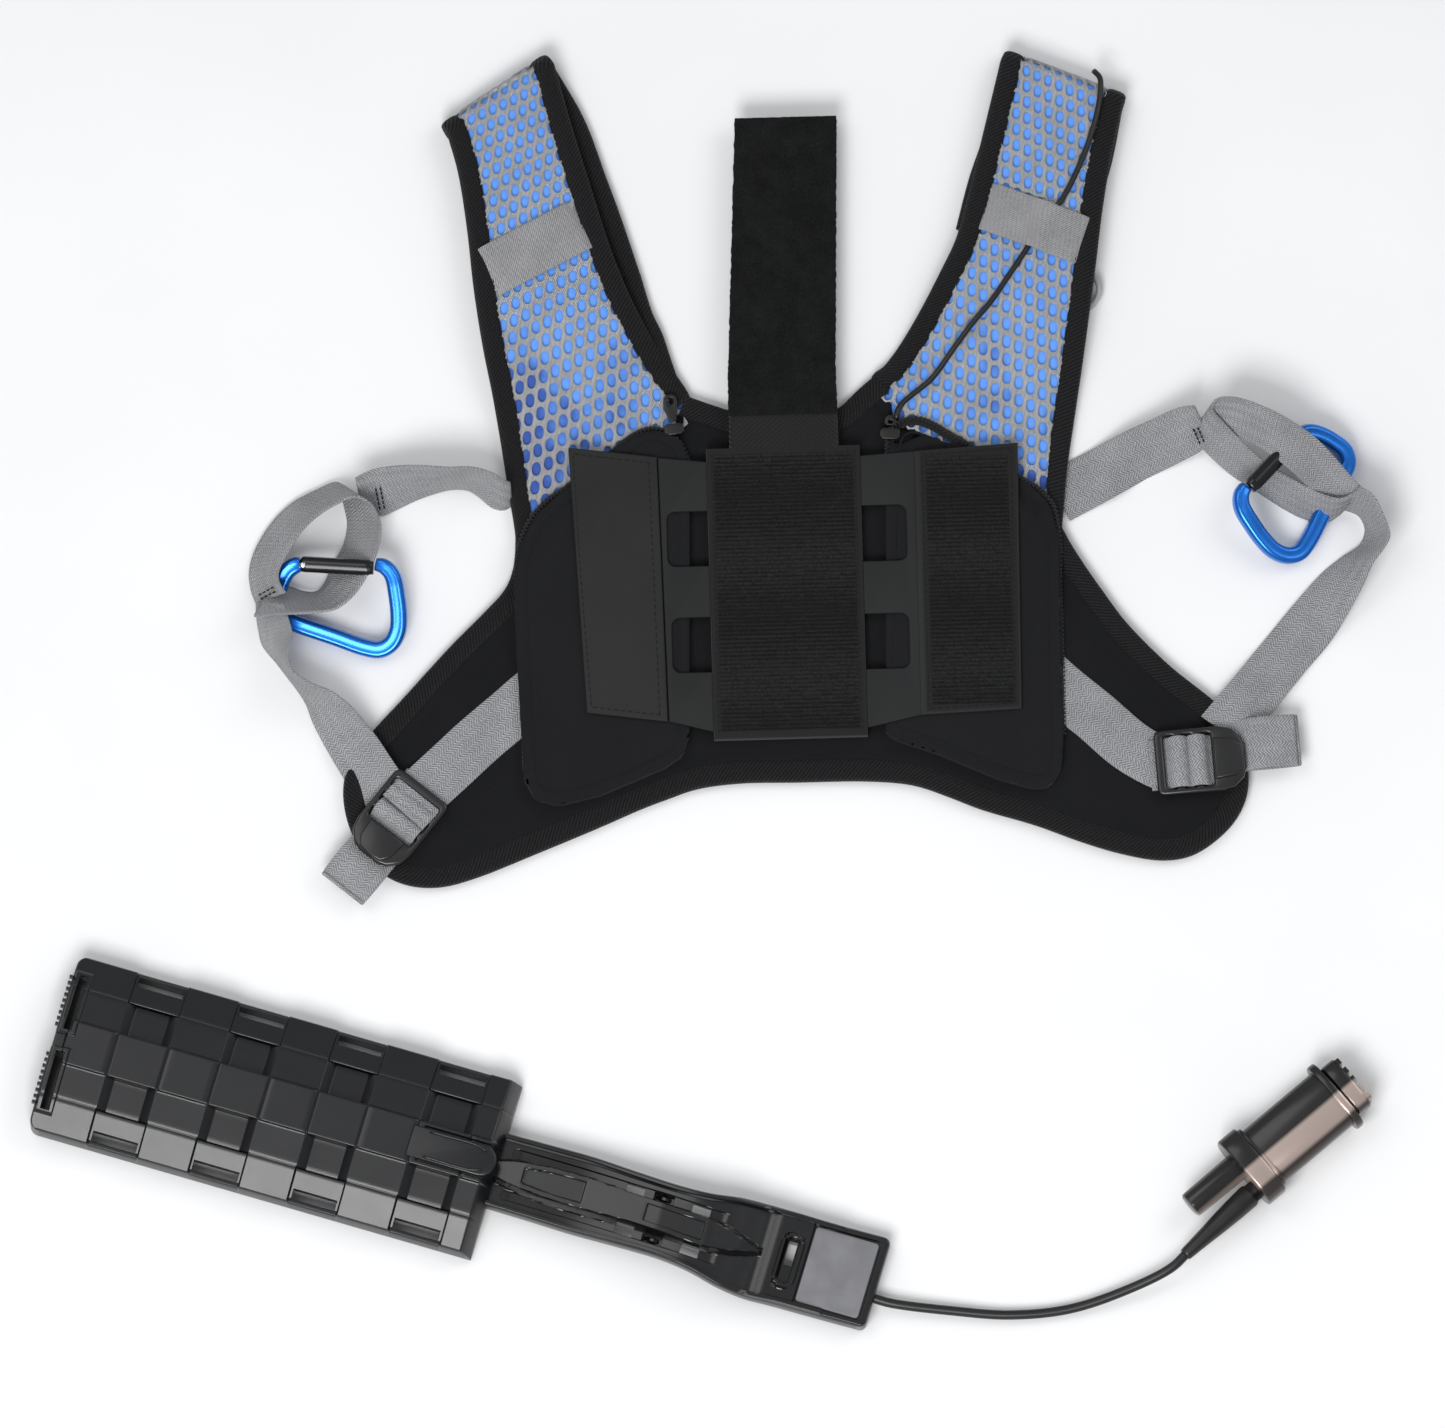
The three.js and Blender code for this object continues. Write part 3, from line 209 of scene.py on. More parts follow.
def hook_material(name, color):
    """Rows of hooks, turned with the hook panel."""
    s = Shader(name)
    vector = s.millimetres(turn=-HOOK_TILT)
    x, y, _ = s.split(vector)
    rows = s.wave(y, pitch=2.0)
    columns = s.wave(x, pitch=1.2)
    speck = s.noise(vector, scale=0.7)
    tone = s.add(s.mul(rows, 0.3), s.add(s.mul(columns, 0.08), speck))
    tint = s.ramp(tone, [(0.35, shade(color, 0.35)), (0.8, shade(color, 3.4))])
    return s.finish(tint, rough=0.75, Normal=s.bump(tone, strength=1.0, distance=0.0009),
                    Sheen_Weight=0.05, Specular_IOR_Level=0.2)


def fuzz_material(name, color):
    s = Shader(name)
    vector = s.millimetres()
    tone = s.add(s.mul(s.noise(vector, scale=0.9, detail=5, rough=0.7), 0.8),
                 s.mul(s.noise(vector, scale=0.12), 0.4))
    tint = s.ramp(tone, [(0.35, shade(color, 0.3)), (0.85, shade(color, 2.6))])
    return s.finish(tint, rough=0.95, Normal=s.bump(tone, strength=1.0, distance=0.0012),
                    Sheen_Weight=0.05, Specular_IOR_Level=0.06)


def plastic_material(name, color, rough, metal=0.0, spread=0.06, grain=0.3, coat=0.0):
    """Plastic or metal; spread is how far the roughness wanders, grain the bump strength."""
    s = Shader(name)
    vector = s.millimetres()
    roughness = s.add(s.mul(s.noise(vector, scale=0.05, detail=4), spread * 2), rough - spread)
    tint = s.ramp(s.noise(vector, scale=0.08), [(0.2, shade(color, 0.8)), (0.8, shade(color, 1.2))])
    bump = s.bump(s.noise(vector, scale=2.0, detail=2), grain, distance=0.00008)
    return s.finish(tint, roughness, metal, Normal=bump, Coat_Weight=coat, Coat_Roughness=0.15)


def neoprene_material(name, color, rough):
    s = Shader(name)
    vector = s.millimetres()
    tint = s.ramp(s.noise(vector, scale=0.025, detail=4),
                  [(0.2, shade(color, 0.85)), (0.8, shade(color, 1.2))])
    height = s.add(s.noise(vector, scale=1.4), s.mul(s.noise(vector, scale=0.06, detail=2), 0.5))
    return s.finish(tint, rough, Normal=s.bump(height, strength=0.35, distance=0.0003),
                    Specular_IOR_Level=0.22)


def layer_material(name):
    """Blue cloth seen through the net: bright up the strap; lower down darker, as painted shade,
    and patchy.
    """
    s = Shader(name)
    vector = s.millimetres()
    y = s.split(vector)[1]
    patch = s.noise(vector, scale=0.035)
    # painted shade: the blue darkens towards the front, lower down the strap
    down = s.mul(s.math("SUBTRACT", 150.0, y), 1 / 110.0)
    tone = s.add(s.mul(down, 0.55), s.mul(s.math("SUBTRACT", patch, 0.5), 1.5))
    tint = s.ramp(tone, [(0.22, (0.12, 0.32, 0.86)), (0.5, (0.03, 0.085, 0.36))])
    bump = s.bump(s.noise(vector, scale=0.9), strength=0.4, distance=0.0004)
    return s.finish(tint, rough=0.8, Normal=bump, Sheen_Weight=0.2)


def remote_material(name):
    """Satin metal with a painted reflection: warm and light along one side of the remote, near
    black along the other.
    """
    s = Shader(name)
    vector = s.millimetres()
    x, y, _ = s.split(vector)
    sine, cosine = math.sin(REMOTE_TURN), math.cos(REMOTE_TURN)
    middle = -REMOTE_ORIGIN[0] * sine + REMOTE_ORIGIN[1] * cosine
    across = s.add(s.mul(x, -sine), s.mul(y, cosine))
    share = s.math("DIVIDE", s.math("SUBTRACT", across, middle - 20), 40.0)
    # painted reflection: a light band along one side of the remote, near black on the other
    tint = s.ramp(share, [(0.18, (0.045, 0.037, 0.034)), (0.225, (0.42, 0.33, 0.295)),
                          (0.46, (0.46, 0.37, 0.33)), (0.505, (0.021, 0.019, 0.019))])
    bump = s.bump(s.noise(vector, scale=2.0, detail=2), strength=0.2, distance=0.00008)
    return s.finish(tint, rough=0.25, metal=0.45, Normal=bump,
                    Coat_Weight=0.2, Coat_Roughness=0.15)


def floor_material(name):
    s = Shader(name)
    tint = s.ramp(s.noise(s.millimetres(), scale=0.004),
                  [(0.3, (0.80, 0.80, 0.805)), (0.7, (0.84, 0.84, 0.84))])
    return s.finish(tint, rough=0.9, Specular_IOR_Level=0.1)


mat_cloth = cloth_material("nylon_cloth", (0.0072, 0.0074, 0.0084))
mat_pocket = cloth_material("pocket_cloth", (0.0100, 0.0102, 0.0115), contrast=0.3)
mat_backing = cloth_material("strap_backing", (0.007, 0.007, 0.008))
mat_thread = cloth_material("black_thread", (0.013, 0.013, 0.015), pitch=0.5)
mat_twill = twill_material("binding_twill", (0.0052, 0.0052, 0.0058))
mat_webbing = webbing_material("grey_webbing", (0.40, 0.402, 0.418))
mat_black_webbing = webbing_material("black_webbing", (0.006, 0.006, 0.0066),
                                     column=25.0, pitch=2.4)
mat_net = webbing_material("net_yarn", (0.56, 0.57, 0.59), column=1.2, pitch=1.1)
mat_elastic = webbing_material("elastic_tape", (0.44, 0.44, 0.455), column=60.0, pitch=1.3)
mat_layer = layer_material("blue_layer")
mat_hook = hook_material("hook_rows", (0.0042, 0.0043, 0.0047))
mat_fuzz = fuzz_material("fuzzy_loop", (0.0060, 0.0062, 0.0064))
mat_flap = neoprene_material("wing_neoprene", (0.0140, 0.0143, 0.0138), rough=0.62)
mat_strip = neoprene_material("wing_neoprene_under", (0.0140, 0.0146, 0.0148), rough=0.7)
mat_pad = plastic_material("mast_pad_satin", (0.16, 0.16, 0.17), rough=0.5, spread=0.14,
                           grain=0.6, coat=0.1)
mat_blue = plastic_material("blue_anodised", (0.012, 0.17, 0.66), rough=0.27, metal=0.8,
                            spread=0.05, grain=0.1, coat=0.3)
mat_gate = plastic_material("black_anodised", (0.012, 0.012, 0.014), rough=0.22, metal=0.6,
                            spread=0.05, grain=0.1, coat=0.3)
mat_steel = plastic_material("bright_steel", (0.62, 0.62, 0.64), rough=0.25, metal=1.0, grain=0.2)
mat_dark = plastic_material("lacquered_metal", (0.035, 0.033, 0.032), rough=0.35, metal=0.8,
                            spread=0.08)
mat_buckle = plastic_material("buckle_plastic", (0.0055, 0.0055, 0.006), rough=0.3, coat=0.2)
mat_hull = plastic_material("support_plastic", (0.0046, 0.0049, 0.0058), rough=0.30,
                            spread=0.05, grain=0.5, coat=0.06)
mat_mast = plastic_material("mast_plastic", (0.0042, 0.0043, 0.0048), rough=0.24, coat=0.25)
mat_rubber = plastic_material("cable_rubber", (0.0045, 0.0044, 0.0044), rough=0.4)
mat_zip = plastic_material("zip_teeth", (0.008, 0.008, 0.009), rough=0.36)
mat_ring = plastic_material("clear_ring", (0.35, 0.36, 0.37), rough=0.25, spread=0.12, grain=0.25)
mat_remote = remote_material("remote_painted_reflection")


# ---------------------------------------------------------------- mesh helpers
def make(name, verts, faces, mat, body, uv=None, angle=None, slot=None, replaces=(), smooth=True):
    """Object from vertices in mm; angle is where smooth shading breaks, in degrees."""
    mesh = bpy.data.meshes.new(name)
    faces = faces if isinstance(faces, list) else faces.tolist()
    mesh.from_pydata((np.asarray(verts, float) * MM).tolist(), [], faces)
    if uv is not None:
        layer = mesh.uv_layers.new(name="cloth")
        layer.data.foreach_set("uv", (np.asarray(uv, float) * MM).ravel().astype(np.float32))
    bm = bmesh.new()
    bm.from_mesh(mesh)
    bmesh.ops.recalc_face_normals(bm, faces=bm.faces)
    bm.to_mesh(mesh)
    bm.free()
    mesh.materials.append(mat)
    obj = bpy.data.objects.new(name, mesh)
    scene.collection.objects.link(obj)
    if smooth:
        mesh.shade_smooth()
        if angle:
            mesh.set_sharp_from_angle(angle=math.radians(angle))
    if body:
        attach(obj, body)
    if replaces:
        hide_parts(*replaces)
    return obj


def lists_of(bm):
    return np.array([v.co for v in bm.verts]), [[v.index for v in f.verts] for f in bm.faces]


def path(points, step, closed=False):
    """Smooth path through rows of x, y, z and anything carried along, resampled by length."""
    P = np.asarray(points, float)
    if closed:
        P = np.vstack([P, P[:1]])
    n = len(P)
    d = np.sqrt(np.maximum(np.linalg.norm(np.diff(P[:, :3], axis=0), axis=1), 1e-6))
    slope = np.zeros_like(P)
    for i in range(n):
        if closed and i in (0, n - 1):
            slope[i] = (P[1] - P[n - 2]) / (d[0] + d[-1])
        elif i == 0:
            slope[i] = (P[1] - P[0]) / d[0]
        elif i == n - 1:
            slope[i] = (P[-1] - P[-2]) / d[-1]
        else:
            before, after = (P[i] - P[i - 1]) / d[i - 1], (P[i + 1] - P[i]) / d[i]
            slope[i] = (before * d[i] + after * d[i - 1]) / (d[i] + d[i - 1])
    fine = []
    for i in range(n - 1):
        for s in np.linspace(0, 1, 24, endpoint=False):
            fine.append((2*s**3 - 3*s**2 + 1) * P[i] + (s**3 - 2*s**2 + s) * d[i] * slope[i]
                        + (-2*s**3 + 3*s**2) * P[i + 1] + (s**3 - s**2) * d[i] * slope[i + 1])
    fine.append(P[-1])
    fine = np.array(fine)
    length = np.cumsum(np.linalg.norm(np.diff(fine[:, :3], axis=0), axis=1))
    length = np.concatenate([[0], length])
    count = max(2, int(round(length[-1] / step)))
    at = np.linspace(0, length[-1], count + 1)
    even = np.stack([np.interp(at, length, column) for column in fine.T], 1)
    return even[:-1] if closed else even


def tangents(centres, closed=False):
    if closed:
        return unit(np.roll(centres, -1, 0) - np.roll(centres, 1, 0))
    return unit(np.gradient(centres, axis=0))


def left_of(tangent):
    """Level vectors to the left of a level path."""
    return np.column_stack([-tangent[:, 1], tangent[:, 0], np.zeros(len(tangent))])


def level(line, z):
    return np.column_stack([line, np.full(len(line), z)])


def sweep(name, centres, across, normals, profile, mat, body, closed=False, sx=1, sy=1, **kw):
    """Sweeps a closed profile (x along across, y along normals) along the centres."""
    C, profile = np.asarray(centres, float), np.asarray(profile, float)
    n, k = len(C), len(profile)
    A, N = np.broadcast_to(across, C.shape), np.broadcast_to(normals, C.shape)
    sx = np.broadcast_to(sx, (n,))[:, None, None]
    sy = np.broadcast_to(sy, (n,))[:, None, None]
    V = C[:, None] + A[:, None] * (profile[None, :, :1] * sx)
    V = (V + N[:, None] * (profile[None, :, 1:2] * sy)).reshape(-1, 3)
    along = np.concatenate([[0], np.cumsum(np.linalg.norm(np.diff(C, axis=0), axis=1))])
    loop = np.vstack([profile, profile[:1]])
    around = np.concatenate([[0], np.cumsum(np.linalg.norm(np.diff(loop, axis=0), axis=1))])
    F, uv = [], []
    for i in range(n if closed else n - 1):
        i2 = (i + 1) % n
        a0 = along[i]
        a1 = along[i + 1] if i + 1 < n else along[-1] + np.linalg.norm(C[0] - C[-1])
        for j in range(k):
            j2 = (j + 1) % k
            F.append([i * k + j, i2 * k + j, i2 * k + j2, i * k + j2])
            uv += [(a0, around[j]), (a1, around[j]), (a1, around[j + 1]), (a0, around[j + 1])]
    if not closed:
        for i, order in ((0, range(k)), (n - 1, range(k - 1, -1, -1))):
            F.append([i * k + j for j in order])
            uv += [(along[i] + profile[j, 1], profile[j, 0]) for j in order]
    return make(name, V, F, mat, body, uv=uv, **kw)


def tape_profile(width, thick, count=12):
    """Flat tape with rounded edges; count points on each flat."""
    h, r = width / 2, thick / 2
    turns = np.linspace(0, math.pi, 5)[1:-1]
    top = [(x, r) for x in np.linspace(h - r, -h + r, count)]
    left = [(-h + r - r * math.sin(a), r * math.cos(a)) for a in turns]
    bottom = [(x, -r) for x in np.linspace(-h + r, h - r, count)]
    right = [(h - r + r * math.sin(a), -r * math.cos(a)) for a in turns]
    return np.array(top + left + bottom + right)


def oval_profile(width, height, count, power):
    """Superellipse; power 2 is an ellipse, higher is squarer."""
    a = np.linspace(0, 2 * math.pi, count, endpoint=False)
    c, s = np.cos(a), np.sin(a)
    return np.stack([width / 2 * np.sign(c) * np.abs(c) ** (2 / power),
                     height / 2 * np.sign(s) * np.abs(s) ** (2 / power)], 1)


def circle(radius, count):
    a = np.linspace(0, 2 * math.pi, count, endpoint=False)
    return np.stack([radius * np.cos(a), radius * np.sin(a)], 1)


def tube(name, points, radius, mat, body, count, step=2.0, closed=False, **kw):
    C = path(points, step, closed)[:, :3]
    T = tangents(C, closed)
    A = unit(np.cross(T, UP) + [1e-6, 0, 0])
    return sweep(name, C, A, np.cross(A, T), circle(radius, count), mat, body, closed, **kw)


def rings(name, sections, mat, body, place, count, power=2.0, **kw):
    """Loft of superellipses along x; sections are (x, width, height[, power])."""
    V = []
    for x, width, height, *own in sections:
        y, z = oval_profile(width, height, count, own[0] if own else power).T
        V.append(place(x, y, z))
    n, k = len(sections), count
    F = []
    for i in range(n - 1):
        for j in range(k):
            j2 = (j + 1) % k
            F.append([i * k + j, (i + 1) * k + j, (i + 1) * k + j2, i * k + j2])
    F.append(list(range(k)))
    F.append([(n - 1) * k + j for j in range(k - 1, -1, -1)])
    return make(name, np.concatenate(V), F, mat, body, **kw)


def capsules(name, centres, directions, ups, half, radius, body, **kw):
    """Many small stitches in one piece, each a six-sided capsule."""
    V, F = [], []
    ring = circle(radius, 6)
    for centre, along, up in zip(centres, directions, ups):
        side = np.cross(along, up)
        b = len(V)
        V.append(centre - along * half)
        for share in (-0.62, 0.62):
            for x, y in ring:
                V.append(centre + along * half * share + side * x + up * y)
        V.append(centre + along * half)
        for j in range(6):
            j2 = (j + 1) % 6
            F += [[b, b + 1 + j2, b + 1 + j], [b + 1 + j, b + 1 + j2, b + 7 + j2, b + 7 + j],
                  [b + 13, b + 7 + j, b + 7 + j2]]
    return make(name, V, F, mat_thread, body, **kw)


def stitches(name, points, body, pitch=3.4, length=2.5, radius=0.26, **kw):
    P = path(points, pitch)
    C, D = (P[1:] + P[:-1]) / 2, unit(P[1:] - P[:-1])
    return capsules(name, C, D, np.tile(UP, (len(C), 1)), length / 2, radius, body, **kw)


def boxes(name, items, mat, body, slot):
    """Boxes in one piece; items are (centre, and three half-size vectors)."""
    V, F = [], []
    for centre, a, b, c in items:
        i = len(V)
        for z in (-1, 1):
            for x, y in ((-1, -1), (1, -1), (1, 1), (-1, 1)):
                V.append(centre + a * x + b * y + c * z)
        F += [[i, i+1, i+2, i+3], [i+4, i+5, i+6, i+7], [i, i+1, i+5, i+4],
              [i+1, i+2, i+6, i+5], [i+2, i+3, i+7, i+6], [i+3, i, i+4, i+7]]
    return make(name, V, F, mat, body, smooth=False, slot=slot)


def signed_area(points):
    p = np.asarray(points)
    return 0.5 * np.sum(p[:, 0] * np.roll(p[:, 1], -1) - np.roll(p[:, 0], -1) * p[:, 1])


def plate(name, outline, holes, z0, z1, bevel, mat, body, place, res=2, **kw):
    """Flat plate with rounded edges and holes, made as a filled curve, then placed."""
    curve = bpy.data.curves.new(name + "_c", "CURVE")
    curve.dimensions = "2D"
    curve.fill_mode = "BOTH"
    curve.extrude = ((z1 - z0) / 2 - bevel) * MM
    curve.bevel_depth = bevel * MM
    curve.bevel_resolution = res
    curve.offset = -bevel * MM
    for i, points in enumerate([outline] + list(holes)):
        points = [tuple(p) for p in points]
        if (signed_area(points) > 0) != (i == 0):
            points = points[::-1]
        spline = curve.splines.new("POLY")
        spline.points.add(len(points) - 1)
        for point, (x, y) in zip(spline.points, points):
            point.co = (x * MM, y * MM, 0, 1)
        spline.use_cyclic_u = True
    temp = bpy.data.objects.new(name + "_c", curve)
    scene.collection.objects.link(temp)
    graph = bpy.context.evaluated_depsgraph_get()
    mesh = bpy.data.meshes.new_from_object(temp.evaluated_get(graph))
    bm = bmesh.new()
    bm.from_mesh(mesh)
    bmesh.ops.remove_doubles(bm, verts=bm.verts, dist=2e-6)
    V, F = lists_of(bm)
    V = V / MM
    bm.free()
    bpy.data.objects.remove(temp)
    V[:, 2] += (z0 + z1) / 2
    return make(name, place(*V.T), F, mat, body, angle=35, **kw)


def rounded(x0, x1, y0, y1, r):
    """Rectangle with round corners."""
    points = []
    for cx, cy, first in ((x1 - r, y0 + r, -90), (x1 - r, y1 - r, 0), (x0 + r, y1 - r, 90),
                          (x0 + r, y0 + r, 180)):
        for i in range(6):
            a = math.radians(first + 90 * i / 5)
            points.append((cx + r * math.cos(a), cy + r * math.sin(a)))
    return points


def relief(name, xs, ys, top, keep, bottom, mat, body, place, angle, **kw):
    """Moulded relief over a grid: heights top(x, y), cells kept where keep(x, y) at their
    middles, walls down to bottom(x, y) at every border."""
    xs, ys = np.unique(np.round(xs, 4)), np.unique(np.round(ys, 4))
    X, Y = np.meshgrid(xs, ys, indexing="ij")
    K = keep(*np.meshgrid((xs[1:] + xs[:-1]) / 2, (ys[1:] + ys[:-1]) / 2, indexing="ij"))
    off = X.size
    ids = np.arange(off).reshape(X.shape)
    P = np.concatenate([np.stack([X, Y, Z], -1).reshape(-1, 3)
                        for Z in (top(X, Y), bottom(X, Y))])
    I, J = np.nonzero(K)
    a, b, c, d = ids[I, J], ids[I + 1, J], ids[I + 1, J + 1], ids[I, J + 1]
    F = [np.stack([a, b, c, d], 1), np.stack([d, c, b, a], 1) + off]
    padded = np.pad(K, 1)
    # a wall wherever the neighbouring cell is missing, between the two shared corners
    for di, dj, p, q in ((0, -1, (0, 0), (1, 0)), (1, 0, (1, 0), (1, 1)),
                         (0, 1, (1, 1), (0, 1)), (-1, 0, (0, 1), (0, 0))):
        beside = padded[1 + di:padded.shape[0] - 1 + di, 1 + dj:padded.shape[1] - 1 + dj]
        I, J = np.nonzero(K & ~beside)
        x, y = ids[I + p[0], J + p[1]], ids[I + q[0], J + q[1]]
        F.append(np.stack([y, x, x + off, y + off], 1))
    F = np.concatenate(F)
    used, inverse = np.unique(F, return_inverse=True)
    return make(name, place(*P[used].T), inverse.reshape(F.shape), mat, body, angle=angle, **kw)


def grid_lines(lo, hi, step, features, width):
    """Even grid lines with extra ones close round each feature."""
    lines = list(np.linspace(lo, hi, max(2, int((hi - lo) / step) + 1)))
    for f in features:
        near = [f + width * q for q in (-1, -0.6, -0.2, 0.2, 0.6, 1)]
        lines += [x for x in near if lo <= x <= hi]
    return np.array(lines)


def ease(x, edge, width):
    """Smooth step from 0 to 1 centred on edge."""
    t = np.clip((x - edge) / width + 0.5, 0, 1)
    return t * t * (3 - 2 * t)


def inside(x, lo, hi, width):
    return ease(x, lo, width) * (1 - ease(x, hi, width))


def outline_distance(points, outline):
    """Distance from points to a closed outline, and whether each lies inside it."""
    P, outline = np.asarray(points, float)[:, :2], np.asarray(outline, float)[:, :2]
    distance = np.full(len(P), 1e9)
    within = np.zeros(len(P), bool)
    for a, b in zip(outline, np.roll(outline, -1, 0)):
        e = b - a
        t = np.clip(((P - a) @ e) / max(e @ e, 1e-9), 0, 1)
        distance = np.minimum(distance, np.linalg.norm(P - a - t[:, None] * e, axis=1))
        crosses = (a[1] > P[:, 1]) != (b[1] > P[:, 1])
        rise = 1e-12 if abs(e[1]) < 1e-12 else e[1]
        within ^= crosses & (P[:, 0] < a[0] + (P[:, 1] - a[1]) / rise * e[0])
    return distance, within


def nearest(P, line):
    """Nearest points on an open line, and their distances."""
    best, found = np.full(len(P), 1e18), np.zeros((len(P), 2))
    for a, b in zip(line[:-1], line[1:]):
        e = b - a
        t = np.clip(((P - a) @ e) / (e @ e), 0, 1)[:, None]
        q = a + e * t
        d = ((P - q) ** 2).sum(1)
        closer = d < best
        best[closer], found[closer] = d[closer], q[closer]
    return found, np.sqrt(best)


def inflate(node, name, voxel, pressure, cap, mat, edit, floor=0.0, smooth=4):
    """The CAD pad's own shape, remeshed and blown up by a cloth simulation. The travel of
    each point is capped, and edit shapes the result."""
    obj = bpy.data.objects.new(name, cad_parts[node].data.copy())
    scene.collection.objects.link(obj)
    remesh = obj.modifiers.new("remesh", "REMESH")
    remesh.mode = "VOXEL"
    remesh.voxel_size = voxel * MM
    graph = bpy.context.evaluated_depsgraph_get()
    mesh = bpy.data.meshes.new_from_object(obj.evaluated_get(graph))
    obj.modifiers.clear()
    obj.data = mesh
    before = np.array([v.co for v in mesh.vertices])
    cloth = obj.modifiers.new("cloth", "CLOTH")
    settings = cloth.settings
    settings.quality = 4
    settings.mass = 0.25
    settings.use_pressure = True
    settings.uniform_pressure_force = pressure
    settings.tension_stiffness = settings.compression_stiffness = 12
    settings.shear_stiffness = 5
    settings.bending_stiffness = 0.8
    settings.effector_weights.gravity = 0
    cloth.collision_settings.use_collision = False
    cloth.point_cache.frame_start, cloth.point_cache.frame_end = 1, 20
    for f in range(1, 21):
        scene.frame_set(f)
    graph = bpy.context.evaluated_depsgraph_get()
    after = np.array([v.co for v in obj.evaluated_get(graph).data.vertices])
    scene.frame_set(1)
    travel = after - before
    length = np.linalg.norm(travel, axis=1, keepdims=True)
    V = before + travel * np.minimum(1, cap * MM / np.maximum(length, 1e-9))
    V[:, 2] = np.maximum(V[:, 2], floor * MM)
    bpy.data.objects.remove(obj)
    capped = bpy.data.meshes.new(name + "_s")
    capped.from_pydata(V.tolist(), [], [list(p.vertices) for p in mesh.polygons])
    bm = bmesh.new()
    bm.from_mesh(capped)
    for _ in range(smooth):
        bmesh.ops.smooth_vert(bm, verts=bm.verts, factor=0.5,
                              use_axis_x=True, use_axis_y=True, use_axis_z=True)
    bmesh.ops.subdivide_edges(bm, edges=bm.edges, cuts=1, use_grid_fill=True, smooth=0.6)
    V, F = lists_of(bm)
    bm.free()
    return make(name, edit(V / MM), F, mat, "vest", slot="padded_cloth", replaces=(node,))


# ---------------------------------------------------------------- vest panel
# Plan of the panel (x, y): from the left strap's outer foot round the front to the right
# strap's outer foot, and the neck edge back from the right strap to the left one.
OUTER = np.array([
    (-128.725, 25.7368), (-129.2, 16.0248), (-133, 3.8848), (-143.45, -8.2552),
    (-158.175, -23.3088), (-169.575, -35.9344), (-182.875, -50.988), (-196.175, -65.556),
    (-206.625, -78.6672), (-210.425, -93.2352), (-208.525, -109.26), (-201.875, -123.828),
    (-192.375, -134.5112), (-180.025, -140.3384), (-164.825, -141.3096), (-148.2, -136.9392),
    (-117.325, -124.3136), (-88.825, -112.1736), (-69.35, -103.4328), (-55.575, -98.0912),
    (-43.225, -93.7208), (-22.325, -90.8072), (4.275, -90.3216), (39.425, -89.836),
    (60.325, -91.7784), (77.425, -97.6056), (92.15, -103.4328), (118.275, -111.2024),
    (139.175, -118.972), (158.175, -124.7992), (177.65, -128.1984), (191.425, -126.256),
    (203.3, -118.972), (213.275, -108.2888), (218.5, -95.6632), (218.5, -83.5232),
    (215.175, -68.9552), (208.05, -56.8152), (200.45, -49.5312), (181.925, -34.4776),
    (161.025, -13.1112), (151.05, 0.4856), (142.025, 13.5968), (134.425, 25.7368),
    (130.625, 33.0208)])
NECK = np.array([
    (40.375, 105.3752), (34.675, 100.5192), (29.925, 95.6632), (24.225, 90.3216),
    (13.3, 86.9224), (0, 85.9512), (-12.825, 86.4368), (-24.7, 88.8648),
    (-36.575, 92.7496), (-46.075, 96.1488)])
POCKETS = {
    "left": np.array([
        (-46.075, 64.5848), (-50.825, 74.2968), (-60.325, 79.1528), (-69.825, 78.6672),
        (-81.7, 70.8976), (-92.625, 61.6712), (-103.075, 52.4448), (-119.7, 37.8768),
        (-126.825, 23.3088), (-130.15, 6.3128), (-128.725, -27.6792), (-126.825, -61.6712),
        (-124.925, -90.8072), (-119.7, -100.5192), (-108.775, -103.4328), (-88.825, -98.5768),
        (-57.475, -84.98), (-48.925, -78.6672), (-46.075, -68.9552)]),
    "right": np.array([
        (47.025, 64.5848), (47.025, -68.9552), (53.675, -72.3544), (71.25, -78.1816),
        (101.175, -90.8072), (116.85, -95.1776), (125.4, -94.2064), (130.625, -84.98),
        (131.575, -68.9552), (130.15, -22.3376), (129.675, 25.7368), (125.4, 44.1896),
        (115.425, 53.416), (102.6, 61.914), (86.45, 71.8688), (70.3, 81.5808),
        (58.9, 84.7372), (50.35, 79.6384)])}


def panel_edit(V):
    """The pad runs out under its bindings, with a stitched valley beside them, a dip round
    the pockets and a slight waviness; it stays low under the feet of the straps."""
    for line in (OUTER, NECK):
        q, d = nearest(V[:, :2], line)
        go = np.minimum(np.clip(11.0 * (1 - d / 34.0), 0, 11.0), np.maximum(d - 1.5, 0))
        V[:, :2] += (q - V[:, :2]) / np.maximum(d, 1e-6)[:, None] * go[:, None]
        V[:, 2] = np.where(d - go < 7.5, np.minimum(V[:, 2], 5.6), V[:, 2])
    d, _ = outline_distance(V, np.vstack([OUTER, NECK]))
    top = V[:, 2] > 3
    V[top, 2] -= 0.9 * np.exp(-((d[top] - 15.5) / 1.6) ** 2)
    for side in SIDES:
        d, within = outline_distance(V, POCKETS[side])
        near = top & ~within
        V[near, 2] -= 0.7 * np.exp(-(d[near] / 3.0) ** 2)
    x, y = V[:, 0], V[:, 1]
    waves = 0.5 * np.sin(x / 17.0 + y / 29.0) * np.sin(y / 21.0 - x / 37.0)
    V[:, 2] += np.where(top, waves, 0)
    V[:, 2] = np.clip(V[:, 2], 0.0, 8.6)
    for a, b in ((OUTER[0], NECK[-1]), (NECK[0], OUTER[-1])):
        e = unit(b - a)
        beyond = e[0] * (y - a[1]) - e[1] * (x - a[0])
        along = (V[:, :2] - a) @ e
        foot = (beyond > -11) & (along > -8) & (along < np.linalg.norm(b - a) + 8)
        V[:, 2] = np.where(foot, np.minimum(V[:, 2], 4.4), V[:, 2])
    return V


BINDING_STEP, BINDING_WIDTH = 2.5, 10.6


def binding_profile(height):
    return oval_profile(BINDING_WIDTH, height, 18, power=2.8)


